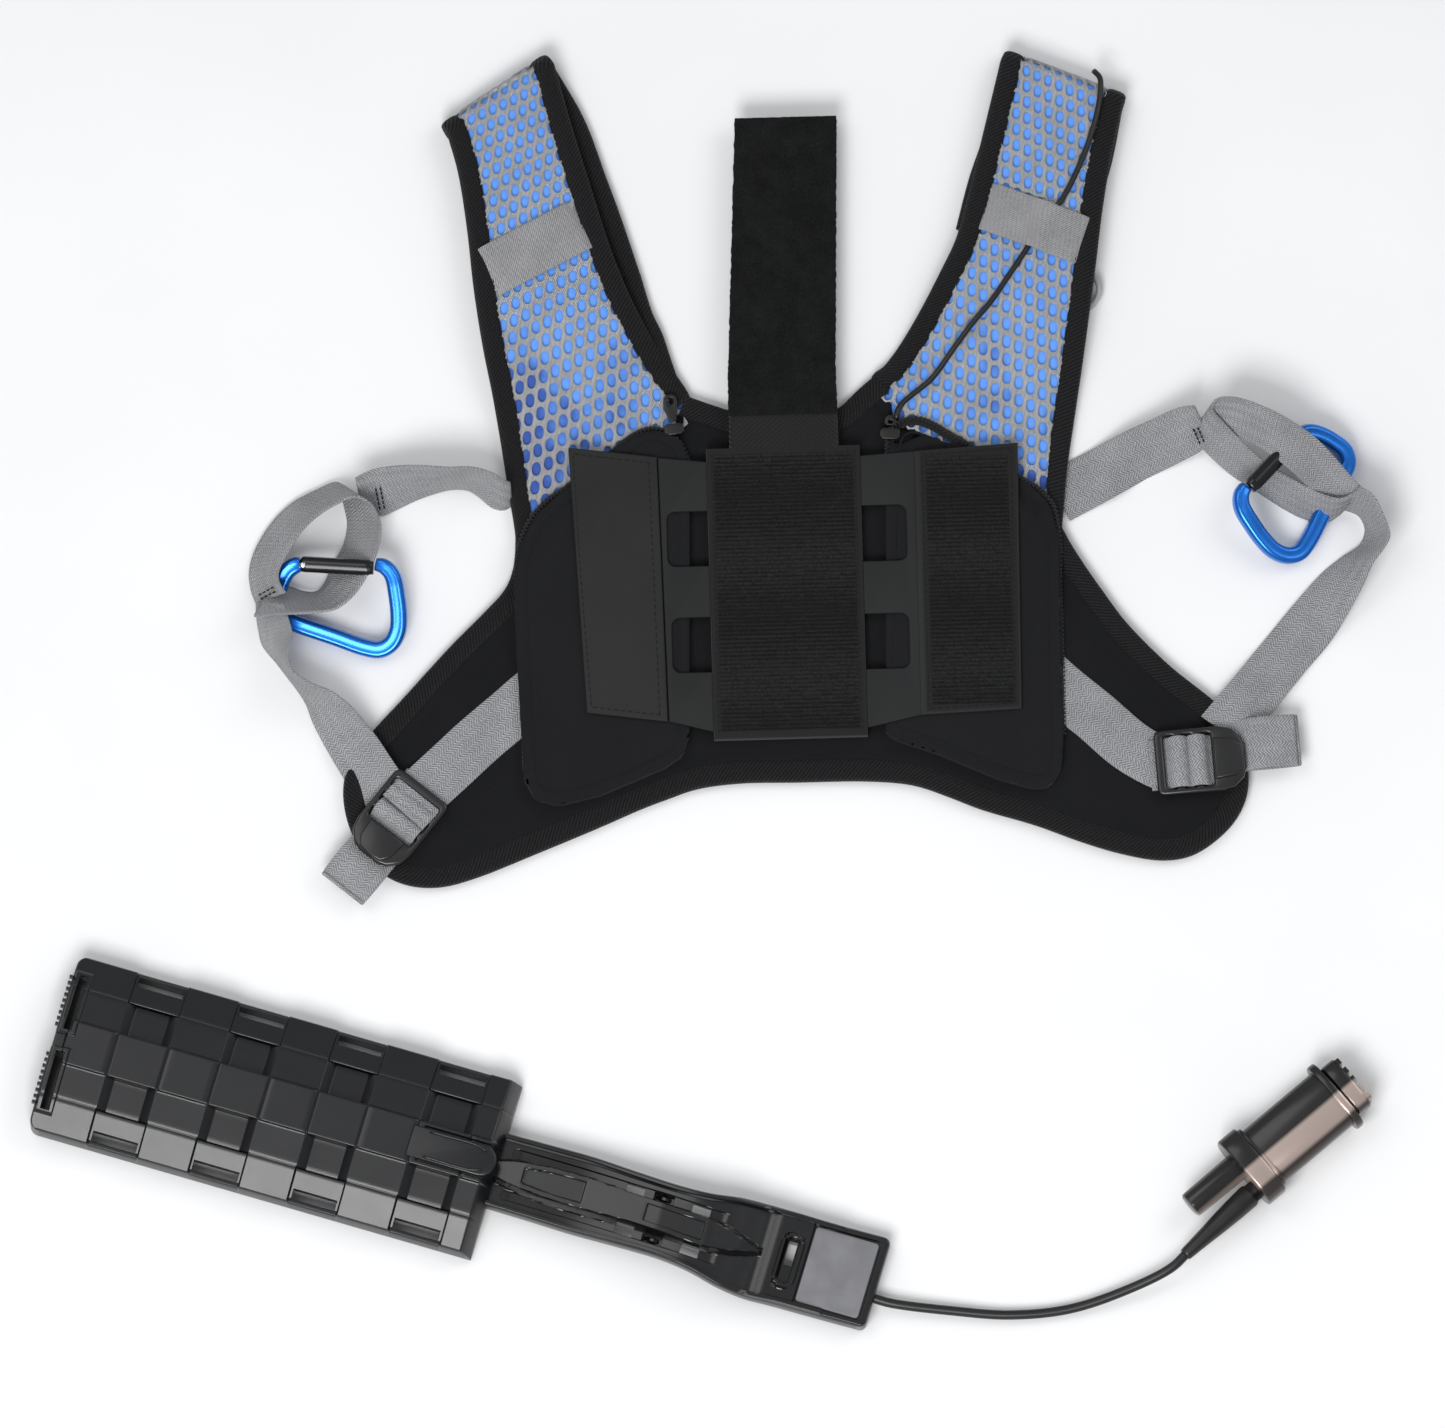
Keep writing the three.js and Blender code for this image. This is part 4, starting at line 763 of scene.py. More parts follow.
def panel_binding(name, line, extend, node):
    """Stuffed tape along a plan line, its middle inset to the left and its ends extended."""
    P = path(level(line, 3.5), BINDING_STEP)
    T = tangents(P)
    P = np.vstack([P[0] - T[0] * extend, P, P[-1] + T[-1] * extend])
    A = left_of(tangents(P))
    C = P + A * 4.9
    for _ in range(2):
        C[1:-1] = (C[:-2] + 2 * C[1:-1] + C[2:]) / 4
    s = np.arange(len(C)) * BINDING_STEP
    lumps = 1 + 0.03 * np.sin(s / 7.0) * np.sin(s / 3.1)
    sweep(name, C, A, UP, binding_profile(6.6), mat_twill, "vest", sy=lumps,
          slot="edge_binding", replaces=(node,))


def panel_stitch(name, line):
    P = path(level(line, 5.6), 3.0)
    stitches(name, P + left_of(tangents(P)) * 9.3, "vest")


inflate("back_panel", "padded_panel", voxel=4.5, pressure=4.0, cap=1.3, mat=mat_cloth,
        edit=panel_edit)
panel_binding("outer_binding", OUTER, 3, "panel_binding")
panel_binding("neck_tape", NECK, 2, "neck_binding")
panel_stitch("edge_stitch", OUTER)
panel_stitch("neck_stitch", NECK)

# ---------------------------------------------------------------- shoulder straps
# Each strap runs up from the panel, folds at the top and comes back underneath.
PLY_LOW, PLY_HIGH = 3.3, 10.5               # middle heights of the lower and upper ply
FOLD_Z, FOLD_R = (PLY_LOW + PLY_HIGH) / 2, (PLY_HIGH - PLY_LOW) / 2
CROWN, NET_DROP = 1.2, 1.9                  # rise mid-strap; drop beside the bindings
UNBOUND = 3                                 # stations at the foot without edge binding

# over: left x, left y, right x, right y, z going up; under: the same without z, coming
# back; tail: further points of the under ply's right edge.
STRAPS = {
    "left": dict(
        over=[(-130.625, 17.9672, -44.175, 87.8936, 4.2),
              (-128.725, 25.7368, -46.075, 96.1488, PLY_LOW),
              (-132.525, 52.4448, -50.825, 104.404, PLY_LOW),
              (-135.85, 74.2968, -57, 113.1448, PLY_LOW),
              (-139.65, 96.1488, -65.075, 125.7704, FOLD_Z),
              (-144.4, 119.4576, -75.05, 144.7088, PLY_HIGH),
              (-148.675, 147.1368, -84.075, 167.532, PLY_HIGH),
              (-152, 177.244, -93.575, 197.6392, PLY_HIGH),
              (-156.275, 204.4376, -103.075, 228.7176, PLY_HIGH),
              (-161.5, 223.376, -111.15, 257.8536, PLY_HIGH)],
        under=[(-161.5, 223.376, -111.15, 257.8536), (-150.575, 211.236, -97.375, 233.5736),
               (-137.75, 181.6144, -85.975, 202.9808), (-131.575, 165.5896, -79.8, 185.9848),
               (-123.025, 136.4536, -69.35, 154.4208)],
        tail=[(-66.975, 146.1656), (-64.125, 137.4248), (-59.375, 127.2272),
              (-55.575, 115.5728), (-51.775, 104.404)]),
    "right": dict(
        over=[(43.225, 94.692, 129.675, 22.3376, 4.2),
              (40.375, 105.3752, 130.625, 33.0208, PLY_LOW),
              (46.55, 111.688, 133, 60.7, PLY_LOW),
              (53.675, 121.4, 136.8, 87.8936, PLY_LOW),
              (63.175, 136.9392, 140.6, 113.1448, FOLD_Z),
              (73.15, 155.8776, 143.925, 137.4248, PLY_HIGH),
              (80.75, 172.388, 146.775, 159.2768, PLY_HIGH),
              (86.45, 193.2688, 149.625, 183.5568, PLY_HIGH),
              (91.675, 215.1208, 153.425, 207.8368, PLY_HIGH),
              (102.125, 259.3104, 159.6, 236.9728, PLY_HIGH)],
        under=[(102.125, 259.3104, 159.6, 236.9728), (94.05, 224.8328, 154.375, 210.2648),
               (86.925, 202.9808, 148.675, 190.8408), (80.75, 178.7008, 142.025, 168.9888)],
        tail=[])}


def strap_rise(t, width, drop):
    """Height over a flat ply at share t across: crowned, and lowered near both edges."""
    rim = np.minimum(t, 1 - t) * width
    return CROWN * (1 - (2 * t - 1) ** 4) - drop * (1 - np.clip((rim - 7.0) / 6.0, 0, 1))


def edge_pairs(rows, step):
    """Resampled heights, left points and right points."""
    P = path([[(xl + xr) / 2, (yl + yr) / 2, z, xl, yl, xr, yr]
              for xl, yl, xr, yr, z in rows], step)
    return P[:, 2], P[:, 3:5], P[:, 5:7]


class Strap:
    def __init__(self, over, under, tail):
        self.z, self.left, self.right = edge_pairs(over, 3.0)
        self.across = unit(self.right - self.left)
        self.width = np.linalg.norm(self.right - self.left, axis=1)
        self.forward = np.array([-self.across[-1][1], self.across[-1][0]])
        _, self.under_left, self.under_right = edge_pairs([(*r, PLY_LOW) for r in under], 4.0)
        self.tail = np.array(tail)

    def past(self, P):
        """How far each plan point lies beyond each station's line."""
        return (self.across[None, :, 0] * (P[:, None, 1] - self.left[None, :, 1])
                - self.across[None, :, 1] * (P[:, None, 0] - self.left[None, :, 0]))

    def surface(self, P, height, drop=0.0):
        """Points at a height above the ply's middle, wrapped round the fold at the top."""
        height = np.broadcast_to(height, (len(P),))
        D = self.past(P)
        i = np.clip((D >= 0).sum(1) - 1, 0, len(self.z) - 2)
        rows = np.arange(len(P))
        d0, d1 = D[rows, i], D[rows, i + 1]
        f = np.clip(d0 / np.where(abs(d0 - d1) < 1e-9, 1, d0 - d1), 0, 1)
        z = self.z[i] + (self.z[i + 1] - self.z[i]) * f
        left = self.left[i] + (self.left[i + 1] - self.left[i]) * f[:, None]
        right = self.right[i] + (self.right[i + 1] - self.right[i]) * f[:, None]
        width = np.linalg.norm(right - left, axis=1)
        t = np.clip(((P - left) * unit(right - left)).sum(1) / width, 0, 1)
        rise = strap_rise(t, width, drop)
        placed = np.column_stack([P, z + height + rise])
        over = D[:, -1] > 0
        if over.any():
            radius = FOLD_R + height[over] + rise[over] * 0.6
            angle = np.minimum(D[over, -1] / (FOLD_R + 2.5), 2.9)
            base = P[over] - self.forward * D[over, -1:]
            placed[over, :2] = base + self.forward * (radius * np.sin(angle))[:, None]
            placed[over, 2] = FOLD_Z + radius * np.cos(angle)
        return placed

    def edge(self, inset, edge):
        """Rows of centre, across and normal down one edge: up, round the fold, back below."""
        rows = []

        def inset_point(left, right):
            e = unit(right - left)
            return (left + e * inset if edge == "L" else right - e * inset), e

        for left, right, z in list(zip(self.left, self.right, self.z))[UNBOUND:]:
            p, e = inset_point(left, right)
            rows.append([*p, z, *e, 0, *UP])
        p, e = inset_point(self.left[-1], self.right[-1])
        for a in np.linspace(0, math.pi, 8)[1:-1]:
            out = self.forward * math.sin(a)
            rows.append([*(p + out * FOLD_R), FOLD_Z + FOLD_R * math.cos(a),
                         *e, 0, *out, math.cos(a)])
        for left, right in zip(self.under_left, self.under_right):
            p, e = inset_point(left, right)
            rows.append([*p, PLY_LOW, *e, 0, *-UP])
        if edge == "R":
            for q in self.tail:
                rows.append([*(q - e * inset), PLY_LOW, *e, 0, *-UP])
        return np.array(rows)


# Net lattice, laid out in an even frame about its origin and stretched along y: two cell
# steps, the origin on the vest, how fast the cells widen towards the front (per mm), and
# the outer front corner (|x|, y) that stays free of net.
NET_STRETCH = 1.0223158
NET_REACH = (-156.75, 142.5)                # extent of the lattice towards the front
NET_HOLE = dict(long=3.0875, short=1.9475, power=2.7)
# Rings of a cell: share of the way from the hole to the cell's border, and height.
NET_RINGS = [(0.0, -0.95), (0.0, 0.1), (0.3, 0.68), (0.68, 0.72), (1.0, 0.22)]
NETS = {"left": dict(a=(5.415, 2.5175), b=(-0.57, -8.2175), origin=(-107.825, 142.2808),
                     growth=0.00094737, corner=(114.95, 35.4488)),
        "right": dict(a=(5.51, -2.5175), b=(0.095, -8.075), origin=(115.425, 142.2808),
                      growth=0.00063158, corner=(118.275, 45.1608))}


def net_cell(side, a, b):
    """Matching points round a cell's oval hole and round its hexagonal border."""
    if side == "left":
        around = [a, a + b, b, -a, -a - b, -b]
    else:
        around = [a, b, b - a, -a, -b, a - b]
    around.sort(key=lambda v: math.atan2(-v[1], v[0]))
    corners = []
    for i in range(6):
        p, q = around[i], around[(i + 1) % 6]
        corners.append(np.linalg.solve(np.array([p, q]) * 2, [p @ p, q @ q]))
    border = []
    for i in range(6):
        p, q = corners[i], corners[(i + 1) % 6]
        border += [p, p * 0.67 + q * 0.33, p * 0.33 + q * 0.67]
    border = np.array(border)
    main = unit(b)
    cross = np.array([main[1], -main[0]])
    angle = np.arctan2(border @ cross, border @ main)
    power = NET_HOLE["power"]
    radius = (np.abs(np.cos(angle) / NET_HOLE["long"]) ** power
              + np.abs(np.sin(angle) / NET_HOLE["short"]) ** power) ** (-1 / power)
    hole = main * (radius * np.cos(angle))[:, None] + cross * (radius * np.sin(angle))[:, None]
    return hole, border


def strap_net(side, strap):
    """Knitted net: one hexagonal cell round each oval hole, its yarn rounded over."""
    spec = NETS[side]
    a, b = np.array(spec["a"]), np.array(spec["b"])

    def on_vest(Q):
        fall = np.clip(-Q[:, 1], *NET_REACH)
        widen = spec["growth"] * fall
        return np.column_stack([spec["origin"][0] + Q[:, 0] * (1 + widen),
                                spec["origin"][1] - NET_STRETCH * fall * (1 + widen / 2)])

    hole, border = net_cell(side, a, b)
    cells = np.array([a * i + b * j for i in range(-40, 41) for j in range(-40, 41)])
    P = on_vest(cells)
    D = strap.past(P)
    ok = (D[:, 0] > 0.3) & (D[:, -1] < 19)
    corner_x, corner_y = spec["corner"]
    ok &= ~((P[:, 1] < corner_y) & (SIDES[side] * P[:, 0] > corner_x))
    # stay between the bindings
    i = np.clip((D >= 0).sum(1) - 1, 0, len(strap.z) - 1)
    from_left = ((P - strap.left[i]) * strap.across[i]).sum(1)
    ok &= (from_left > 4.2) & (strap.width[i] - from_left > 4.2)
    V, F, k = [], [], len(border)
    for cell in cells[ok]:
        base = len(V)
        for share, height in NET_RINGS:
            V += [(*p, height) for p in hole + (border - hole) * share + cell]
        for r in range(len(NET_RINGS) - 1):
            lo = base + r * k
            hi = lo + k
            for j in range(k):
                j2 = (j + 1) % k
                F.append([lo + j, lo + j2, hi + j2, hi + j])
    V = np.array(V)
    W = strap.surface(on_vest(V[:, :2]), 1.9 + V[:, 2], drop=NET_DROP)
    # merge the cells' shared borders
    mesh = bpy.data.meshes.new("net_tmp")
    mesh.from_pydata(W.tolist(), [], F)
    bm = bmesh.new()
    bm.from_mesh(mesh)
    bmesh.ops.remove_doubles(bm, verts=bm.verts, dist=0.02)
    W, F = lists_of(bm)
    bm.free()
    make(side + "_net", W, F, mat_net, "vest", uv=[W[i][:2] for f in F for i in f],
         slot="spacer_mesh", replaces=(side + "_strap_mesh",))


def strap_body(side, strap):
    """Blue cloth below the net, over the padding, as one closed slab round the fold."""
    count = 22
    T = np.linspace(0.04, 0.96, count)
    outer, inner = [], []
    for left, right, z, width in zip(strap.left, strap.right, strap.z, strap.width):
        p = left + (right - left) * T[:, None]
        outer.append(np.column_stack([p, z + 0.8 + strap_rise(T, width, NET_DROP)]))
        inner.append(level(p, z - 2.9))
    p = strap.left[-1] + (strap.right[-1] - strap.left[-1]) * T[:, None]
    rise = strap_rise(T, strap.width[-1], NET_DROP)
    for a in np.linspace(0, math.pi, 9)[1:-1]:
        for rows, radius in ((outer, FOLD_R + 0.8 + rise * 0.6),
                             (inner, np.full(count, FOLD_R - 2.9))):
            rows.append(np.column_stack([p + strap.forward * (radius * math.sin(a))[:, None],
                                         FOLD_Z + radius * math.cos(a)]))
    below = np.maximum(PLY_LOW - 1.0 - strap_rise(T, 0, 0) * 0.6, 0.4)
    for left, right in zip(strap.under_left, strap.under_right):
        p = left + (right - left) * T[:, None]
        outer.append(np.column_stack([p, below]))
        inner.append(level(p, PLY_LOW + 2.9))
    n = len(outer)
    V = np.concatenate(outer + inner)
    off = n * count
    F, backing = [], []
    for i in range(n - 1):
        a, b = i * count, (i + 1) * count
        for j in range(count - 1):
            q = [a + j, b + j, b + j + 1, a + j + 1]
            F += [q, [x + off for x in q[::-1]]]
            backing += [0, 1]
        for j in (0, count - 1):
            F.append([a + j, b + j, b + j + off, a + j + off])
            backing.append(1)
    for i in (0, n - 1):
        for j in range(i * count, (i + 1) * count - 1):
            F.append([j, j + 1, j + 1 + off, j + off])
            backing.append(1)
    obj = make(side + "_strap_body", V, F, mat_layer, "vest", slot="strap_foam",
               replaces=(side + "_strap_pad",), angle=50)
    obj.data.materials.append(mat_backing)
    # faces keep their order, so the backing goes on the inner side
    obj.data.polygons.foreach_set("material_index", backing)


def strap_binding(side, strap, edge):
    """Bound edge of a strap and the stitches beside it."""
    P = path(strap.edge(5.0, edge), BINDING_STEP)
    i = np.arange(len(P))
    lumps = 1 + 0.03 * np.sin(i * BINDING_STEP / 6.0) * np.sin(i / 1.7)
    sweep(side + "_edge_" + edge, P[:, :3], unit(P[:, 3:6]), unit(P[:, 6:9]),
          binding_profile(6.7), mat_twill, "vest", sy=lumps, slot="edge_binding",
          replaces=(side + "_strap_binding",))
    P = path(strap.edge(9.6, edge)[:, [0, 1, 2, 6, 7, 8]], 3.3)
    middle, along = (P[1:] + P[:-1]) / 2, unit(P[1:, :3] - P[:-1, :3])
    normal = unit(middle[:, 3:6])
    capsules(side + "_edge_thread_" + edge, middle[:, :3] + normal * 2.9, along, normal,
             half=1.25, radius=0.26, body="vest", slot="edge_binding")


def strap_end(side, strap):
    """Binding across the free end of the under ply."""
    left, right = strap.under_left[-1], strap.under_right[-1]
    e = unit(right - left)
    C = path(level([left + e * 3, (left + right) / 2, right - e * 3], PLY_LOW), 3)
    back = strap.under_left[-2] - left
    inward = unit(back - e * (back @ e))
    C[:, :2] += inward * 4.6
    sweep(side + "_edge_end", C, [*inward, 0], UP, oval_profile(10.4, 6.5, 18, 2.8), mat_twill,
          "vest", slot="edge_binding")


straps = {}
for side in SIDES:
    strap = straps[side] = Strap(**STRAPS[side])
    strap_net(side, strap)
    strap_body(side, strap)
    for edge in ("L", "R"):
        strap_binding(side, strap, edge)
    strap_end(side, strap)


# ---------------------------------------------------------------- webbing
WEB_THICK = 1.5
VIEW_SLOPE = 0.208      # shift along y per unit of height in the stations seen from above

# Flat pieces: x, y, z along the middle.
FLAT_WEBBING = [
    ("left_anchor", "left_anchor_webbing", [
        (-114.95, -43.704, 6.8), (-123.025, -50.5024, 7.2), (-130.625, -57.3008, 7.4),
        (-145.825, -70.412, 7.5), (-160.075, -84.0088, 8.0), (-168.625, -92.264, 9.0),
        (-176.7, -101.0048, 12.6), (-182.4, -107.3176, 14.4)]),
    ("right_anchor", "right_anchor_webbing", [
        (117.325, -34.4776, 6.8), (123.975, -40.3048, 7.2), (131.575, -47.1032, 7.4),
        (146.3, -59.2432, 7.5), (162.925, -73.8112, 7.8), (174.8, -81.0952, 8.4),
        (180.975, -84.0088, 9.4)])]

# Leaning pieces: name, replaced part, width, sign of the lean, share of the width used, and
# stations x, y, z, half width along x and along y as seen from the front above[, own share].
LEANING_WEBBING = [
    ("left_lower", "left_lower_webbing", 25, 1, 1.0, [
        (-245.575, -2.428, 17.6, 6.65, -0.4856, 0.62),
        (-244.625, -8.7408, 17.2, 7.6, -0.7284, 0.7),
        (-243.2, -16.0248, 15.4, 8.075, -1.214, 0.8),
        (-242.725, -24.28, 13.4, 6.175, -0.4856), (-239.875, -30.8356, 13.3, 2.85, 0.4856),
        (-236.075, -37.1484, 13.2, 1.425, 0.9712), (-228.95, -43.704, 12.8, 3.325, 1.6996),
        (-222.5375, -48.8028, 11.4, 5.9375, 3.1564), (-216.3625, -56.8152, 9.4, 8.7875, 4.3704),
        (-210.9, -65.0704, 8.6, 9.5, 5.8272), (-204.25, -75.268, 8.3, 9.5, 7.5268),
        (-198.075, -84.98, 8.2, 9.025, 8.498), (-190.95, -95.6632, 8.2, 9.025, 8.498)]),
    ("right_lower", "right_lower_webbing", 25, 1, 1.0, [
        (266.95, 48.56, 15.6, 5.225, 5.3416), (274.075, 45.1608, 14.6, 4.75, 3.8848),
        (278.35, 38.848, 13.2, 5.225, 0.4856), (280.725, 31.0784, 12.6, 5.7, -0.9712),
        (278.1125, 24.7656, 12.0, 5.7, -0.4856), (271.225, 17.9672, 10.6, 7.125, -1.4568),
        (263.625, 7.7696, 7.4, 9.2625, -3.8848), (249.85, -12.14, 2.4, 9.7375, -7.67248),
        (236.55, -28.6504, 1.9, 9.7375, -7.67248), (225.625, -42.2472, 4.6, 9.6425, -7.86672),
        (215.175, -54.8728, 8.3, 9.6425, -7.86672), (206.625, -65.0704, 8.6, 9.975, -7.284)]),
    ("left_upper", "left_upper_webbing", 25, -1, 1.0, [
        (-131.1, 48.0744, 4.0, 0.475, -7.96384), (-134.9, 48.8028, 7.4, 0, -8.2552),
        (-139.175, 51.4736, 9.8, -0.95, -8.0124), (-144.4, 54.8728, 11.4, -0.95, -6.7984),
        (-150.575, 57.5436, 12.2, -0.475, -5.5844), (-160.075, 57.7864, 12.6, 0.2375, -5.24448),
        (-175.275, 56.0868, 11, 0.95, -7.96384), (-186.2, 53.416, 9.0, 1.6625, -10.29472),
        (-194.275, 50.988, 8.4, 1.9, -11.36304), (-199.025, 50.5024, 9.6, 1.9, -9.712),
        (-203.775, 50.5024, 11.0, 1.425, -7.284)]),
    ("right_upper", "right_upper_webbing", 25.4, 1, 1.0, [
        (128.725, 48.56, 0.95, -5.9375, 11.36304), (134.425, 51.7164, 0.95, -5.9375, 11.36304),
        (141.075, 55.26128, 1.1, -5.9375, 11.36304), (151.525, 60.9428, 2.6, -5.89, 11.26592),
        (164.825, 68.4696, 4.2, -5.8425, 11.1688), (179.55, 75.7536, 7, -5.7, 10.97456),
        (191.425, 81.5808, 10.6, -5.225, 10.6832), (198.075, 84.4944, 12.6, -4.275, 8.7408)]),
    ("left_loop", "left_webbing_loop", 25, 1, 1.0, [
        (-245.1, -0.4856, 13.6, 7.125, 2.6708), (-247.475, 4.3704, 12.6, 7.125, 1.214),
        (-248.6625, 10.926, 11.8, 6.8875, -0.7284), (-247, 17.9672, 11.4, 6.8875, -1.9424),
        (-242.725, 26.2224, 11.2, 6.7925, -2.9136), (-236.55, 35.4488, 11.3, 6.175, -3.1564),
        (-228.475, 42.9756, 11.6, 5.7, -3.3992), (-218.5, 48.8028, 12, 4.5125, -3.642),
        (-209.95, 52.202, 12.2, 4.75, -3.642), (-204.725, 49.5312, 11.6, 6.65, -3.8848),
        (-202.35, 42.2472, 10.4, 8.55, -3.8848), (-200.925, 33.992, 10.4, 8.075, -2.9136),
        (-201.875, 26.708, 10.6, 7.8375, -2.6708), (-204.25, 19.9096, 10.4, 7.6, -3.1564),
        (-208.05, 12.6256, 10.2, 7.3625, -4.3704), (-211.85, 6.3128, 10.2, 5.7, -5.8272),
        (-216.6, 0.9712, 11, 2.85, -6.5556), (-222.3, -2.1852, 12.4, 0.95, -5.0988),
        (-229.425, -2.6708, 13.2, 0, -5.3416), (-237.025, -1.6996, 14.2, -0.95, -6.65272),
        (-244.625, -1.6996, 15.2, -2.85, -7.284), (-249.375, -2.428, 15.6, -3.8, -7.0412)]),
    ("right_loop", "right_webbing_loop", 25, 1, 0.8, [
        (267.425, 46.132, 12.4, 4.75, 5.8272), (259.825, 42.2472, 10, 3.8, 5.8272),
        (250.325, 44.1896, 8, 3.325, 6.3128), (238.925, 50.0168, 6.6, 3.325, 6.7984),
        (228.475, 56.0868, 6.2, 3.325, 6.5556), (219.45, 62.6424, 6.6, 3.8, 6.3128),
        (211.375, 69.9264, 8, 4.75, 6.3128), (202.825, 78.6672, 10.6, 4.75, 6.5556),
        (198.075, 84.98, 13.6, 4.5125, 6.5556), (199.975, 89.836, 16.6, 4.5125, 6.5556),
        (207.575, 90.0788, 18.4, 4.0375, 7.284), (216.125, 87.408, 19.6, 3.8, 8.0124),
        (231.0875, 80.124, 20.4, 4.9875, 8.0124), (245.575, 69.4408, 20, 5.7, 8.2552),
        (255.7875, 59.0004, 18.4, 5.9375, 7.5268), (263.15, 51.4736, 15.4, 5.225, 7.0412),
        (268.375, 47.1032, 13.6, 4.75, 6.3128)])]


def ribbon(name, rows, width, node):
    """Webbing through rows of x, y, z and the half-width vector in units of half the width."""
    P = path(rows, 1.6)
    C, across = P[:, :3], P[:, 3:6]
    share = np.linalg.norm(across, axis=1)
    A = across / share[:, None]
    N = unit(np.cross(tangents(C), A))
    sweep(name, C, A, N, tape_profile(width, WEB_THICK), mat_webbing, "vest", sx=share,
          slot="webbing", replaces=(node,))


def flat_rows(points):
    """Rows with level width vectors square to the path."""
    P = np.array(points)
    return np.column_stack([P, left_of(unit(np.gradient(P[:, :2], axis=0)))])


def leaning_rows(stations, width, sign, share):
    """Rows whose visible half width is given; the rest of the width stands up or down."""
    rows = []
    for x, y, z, half_x, seen_y, *own in stations:
        reach = (own[0] if own else share) * width / 2
        half_y = seen_y
        for _ in range(8):
            up = math.sqrt(max(0.0, reach ** 2 - half_x * half_x - half_y * half_y)) * sign
            half_y = seen_y - VIEW_SLOPE * up
        rows.append((x, y - VIEW_SLOPE * z, z,
                     half_x * 2 / width, half_y * 2 / width, up * 2 / width))
    return rows


for name, node, points in FLAT_WEBBING:
    ribbon(name, flat_rows(points), 25.4, node)
for name, node, width, sign, share, stations in LEANING_WEBBING:
    ribbon(name, leaning_rows(stations, width, sign, share), width, node)

# Two sewn bars across each webbing end: from (x, y) to (x, y), and the heights there.
BAR_GAP = 2.2
BAR_TACKS = [
    ("left_loop_seam", (-250.8, -3.3992), (-237.5, 2.428), (15.6, 22.0)),
    ("left_upper_seam", (-196.175, 59.7288), (-192.375, 40.7904), (12.6, 8.6)),
    ("left_lower_seam", (-250.8, -15.0536), (-235.6, -17.4816), (10.2, 20.6)),
    ("right_loop_seam", (263.625, 42.7328), (268.375, 48.0744), (12.6, 15.2)),
    ("right_upper_seam", (193.325, 82.0664), (197.6, 72.3544), (11.8, 11.6))]
for name, start, end, (z0, z1) in BAR_TACKS:
    start, end = np.array([*start, z0]), np.array([*end, z1])
    e = unit(end[:2] - start[:2])
    for i in range(2):
        shift = np.array([-e[1], e[0], 0]) * BAR_GAP * (i - 0.5)
        stitches(f"{name}_{i}", [p + shift for p in (start, (start + end) / 2, end)], "vest",
                 pitch=2.3, length=2.0, radius=0.42, slot="webbing")

# Elastic keepers: corners back left, back right, front right, front left.
KEEPERS = {
    "left": [(-142.975, 168.5032), (-102.125, 189.8696), (-95.475, 166.5608),
             (-139.175, 142.7664)],
    "right": [(99.275, 198.1248), (141.55, 183.0712), (138.7, 158.7912), (93.1, 176.2728)]}


def keeper(side):
    """Flat elastic across the strap; both ends go down between the net and the bindings."""
    back_left, back_right, front_right, front_left = np.array(KEEPERS[side])
    a, b = (back_left + front_left) / 2, (back_right + front_right) / 2
    e = unit(b - a)
    a, b = a - e * 4.2, b + e * 4.2
    width = (np.linalg.norm(back_left - front_left) + np.linalg.norm(back_right - front_right)) / 2
    t = np.linspace(0, 1, 44)
    P = straps[side].surface(a + (b - a) * t[:, None], 3.2)
    along = t * np.linalg.norm(b - a)
    ends = np.minimum(along, along[-1] - along)
    P[:, 2] -= 3.0 * (1 - np.clip((ends - 2.0) / 5.0, 0, 1)) ** 1.5
    if side == "right":
        # lifted where the cord passes below
        P[:, 2] += 2.2 * np.exp(-((along - 31.0) / 5.0) ** 2)
    across = np.array([-e[1], e[0], 0])
    N = -unit(np.cross(across, tangents(P)))
    N[N[:, 2] < 0] *= -1
    sweep(side + "_keeper", P, across, N, tape_profile(width, 1.1), mat_elastic, "vest",
          slot="webbing", replaces=(side + "_elastic_keeper",))


for side in SIDES:
    keeper(side)

# Cord up the right strap: x, y, z.
CORD = [(52.06, 84.98, 9.6), (52.725, 88.8648, 9.4), (55.1, 92.7496, 8.6),
        (61.275, 98.0912, 8.6), (68.875, 104.404, 9.4), (80.75, 120.4288, 12.6),
        (89.3, 131.5976, 14.6), (96.425, 139.8528, 15.4), (104.975, 152.4784, 15.2),
        (111.625, 162.676, 14.6), (117.8, 172.388, 14.4), (123.975, 182.1, 14.5),
        (130.625, 189.8696, 15.6), (137.275, 202.4952, 15.8), (142.5, 215.1208, 15.6),
        (146.775, 228.7176, 15.6), (149.15, 241.3432, 14.8), (149.15, 250.084, 13.6),
        (146.3, 253.9688, 11.4)]
RING_CENTRE, RING_R = (138.7, 149.0792), 10
tube("pull_cord", CORD, 1.35, mat_rubber, "vest", count=10, slot="cable_rubber",
     replaces=("right_pull_cord",))
tube("shoulder_ring", level(circle(RING_R, 40) + RING_CENTRE, 3.4), 1.5, mat_ring, "vest",
     count=10, closed=True, slot="steel", replaces=("right_shoulder_ring",))

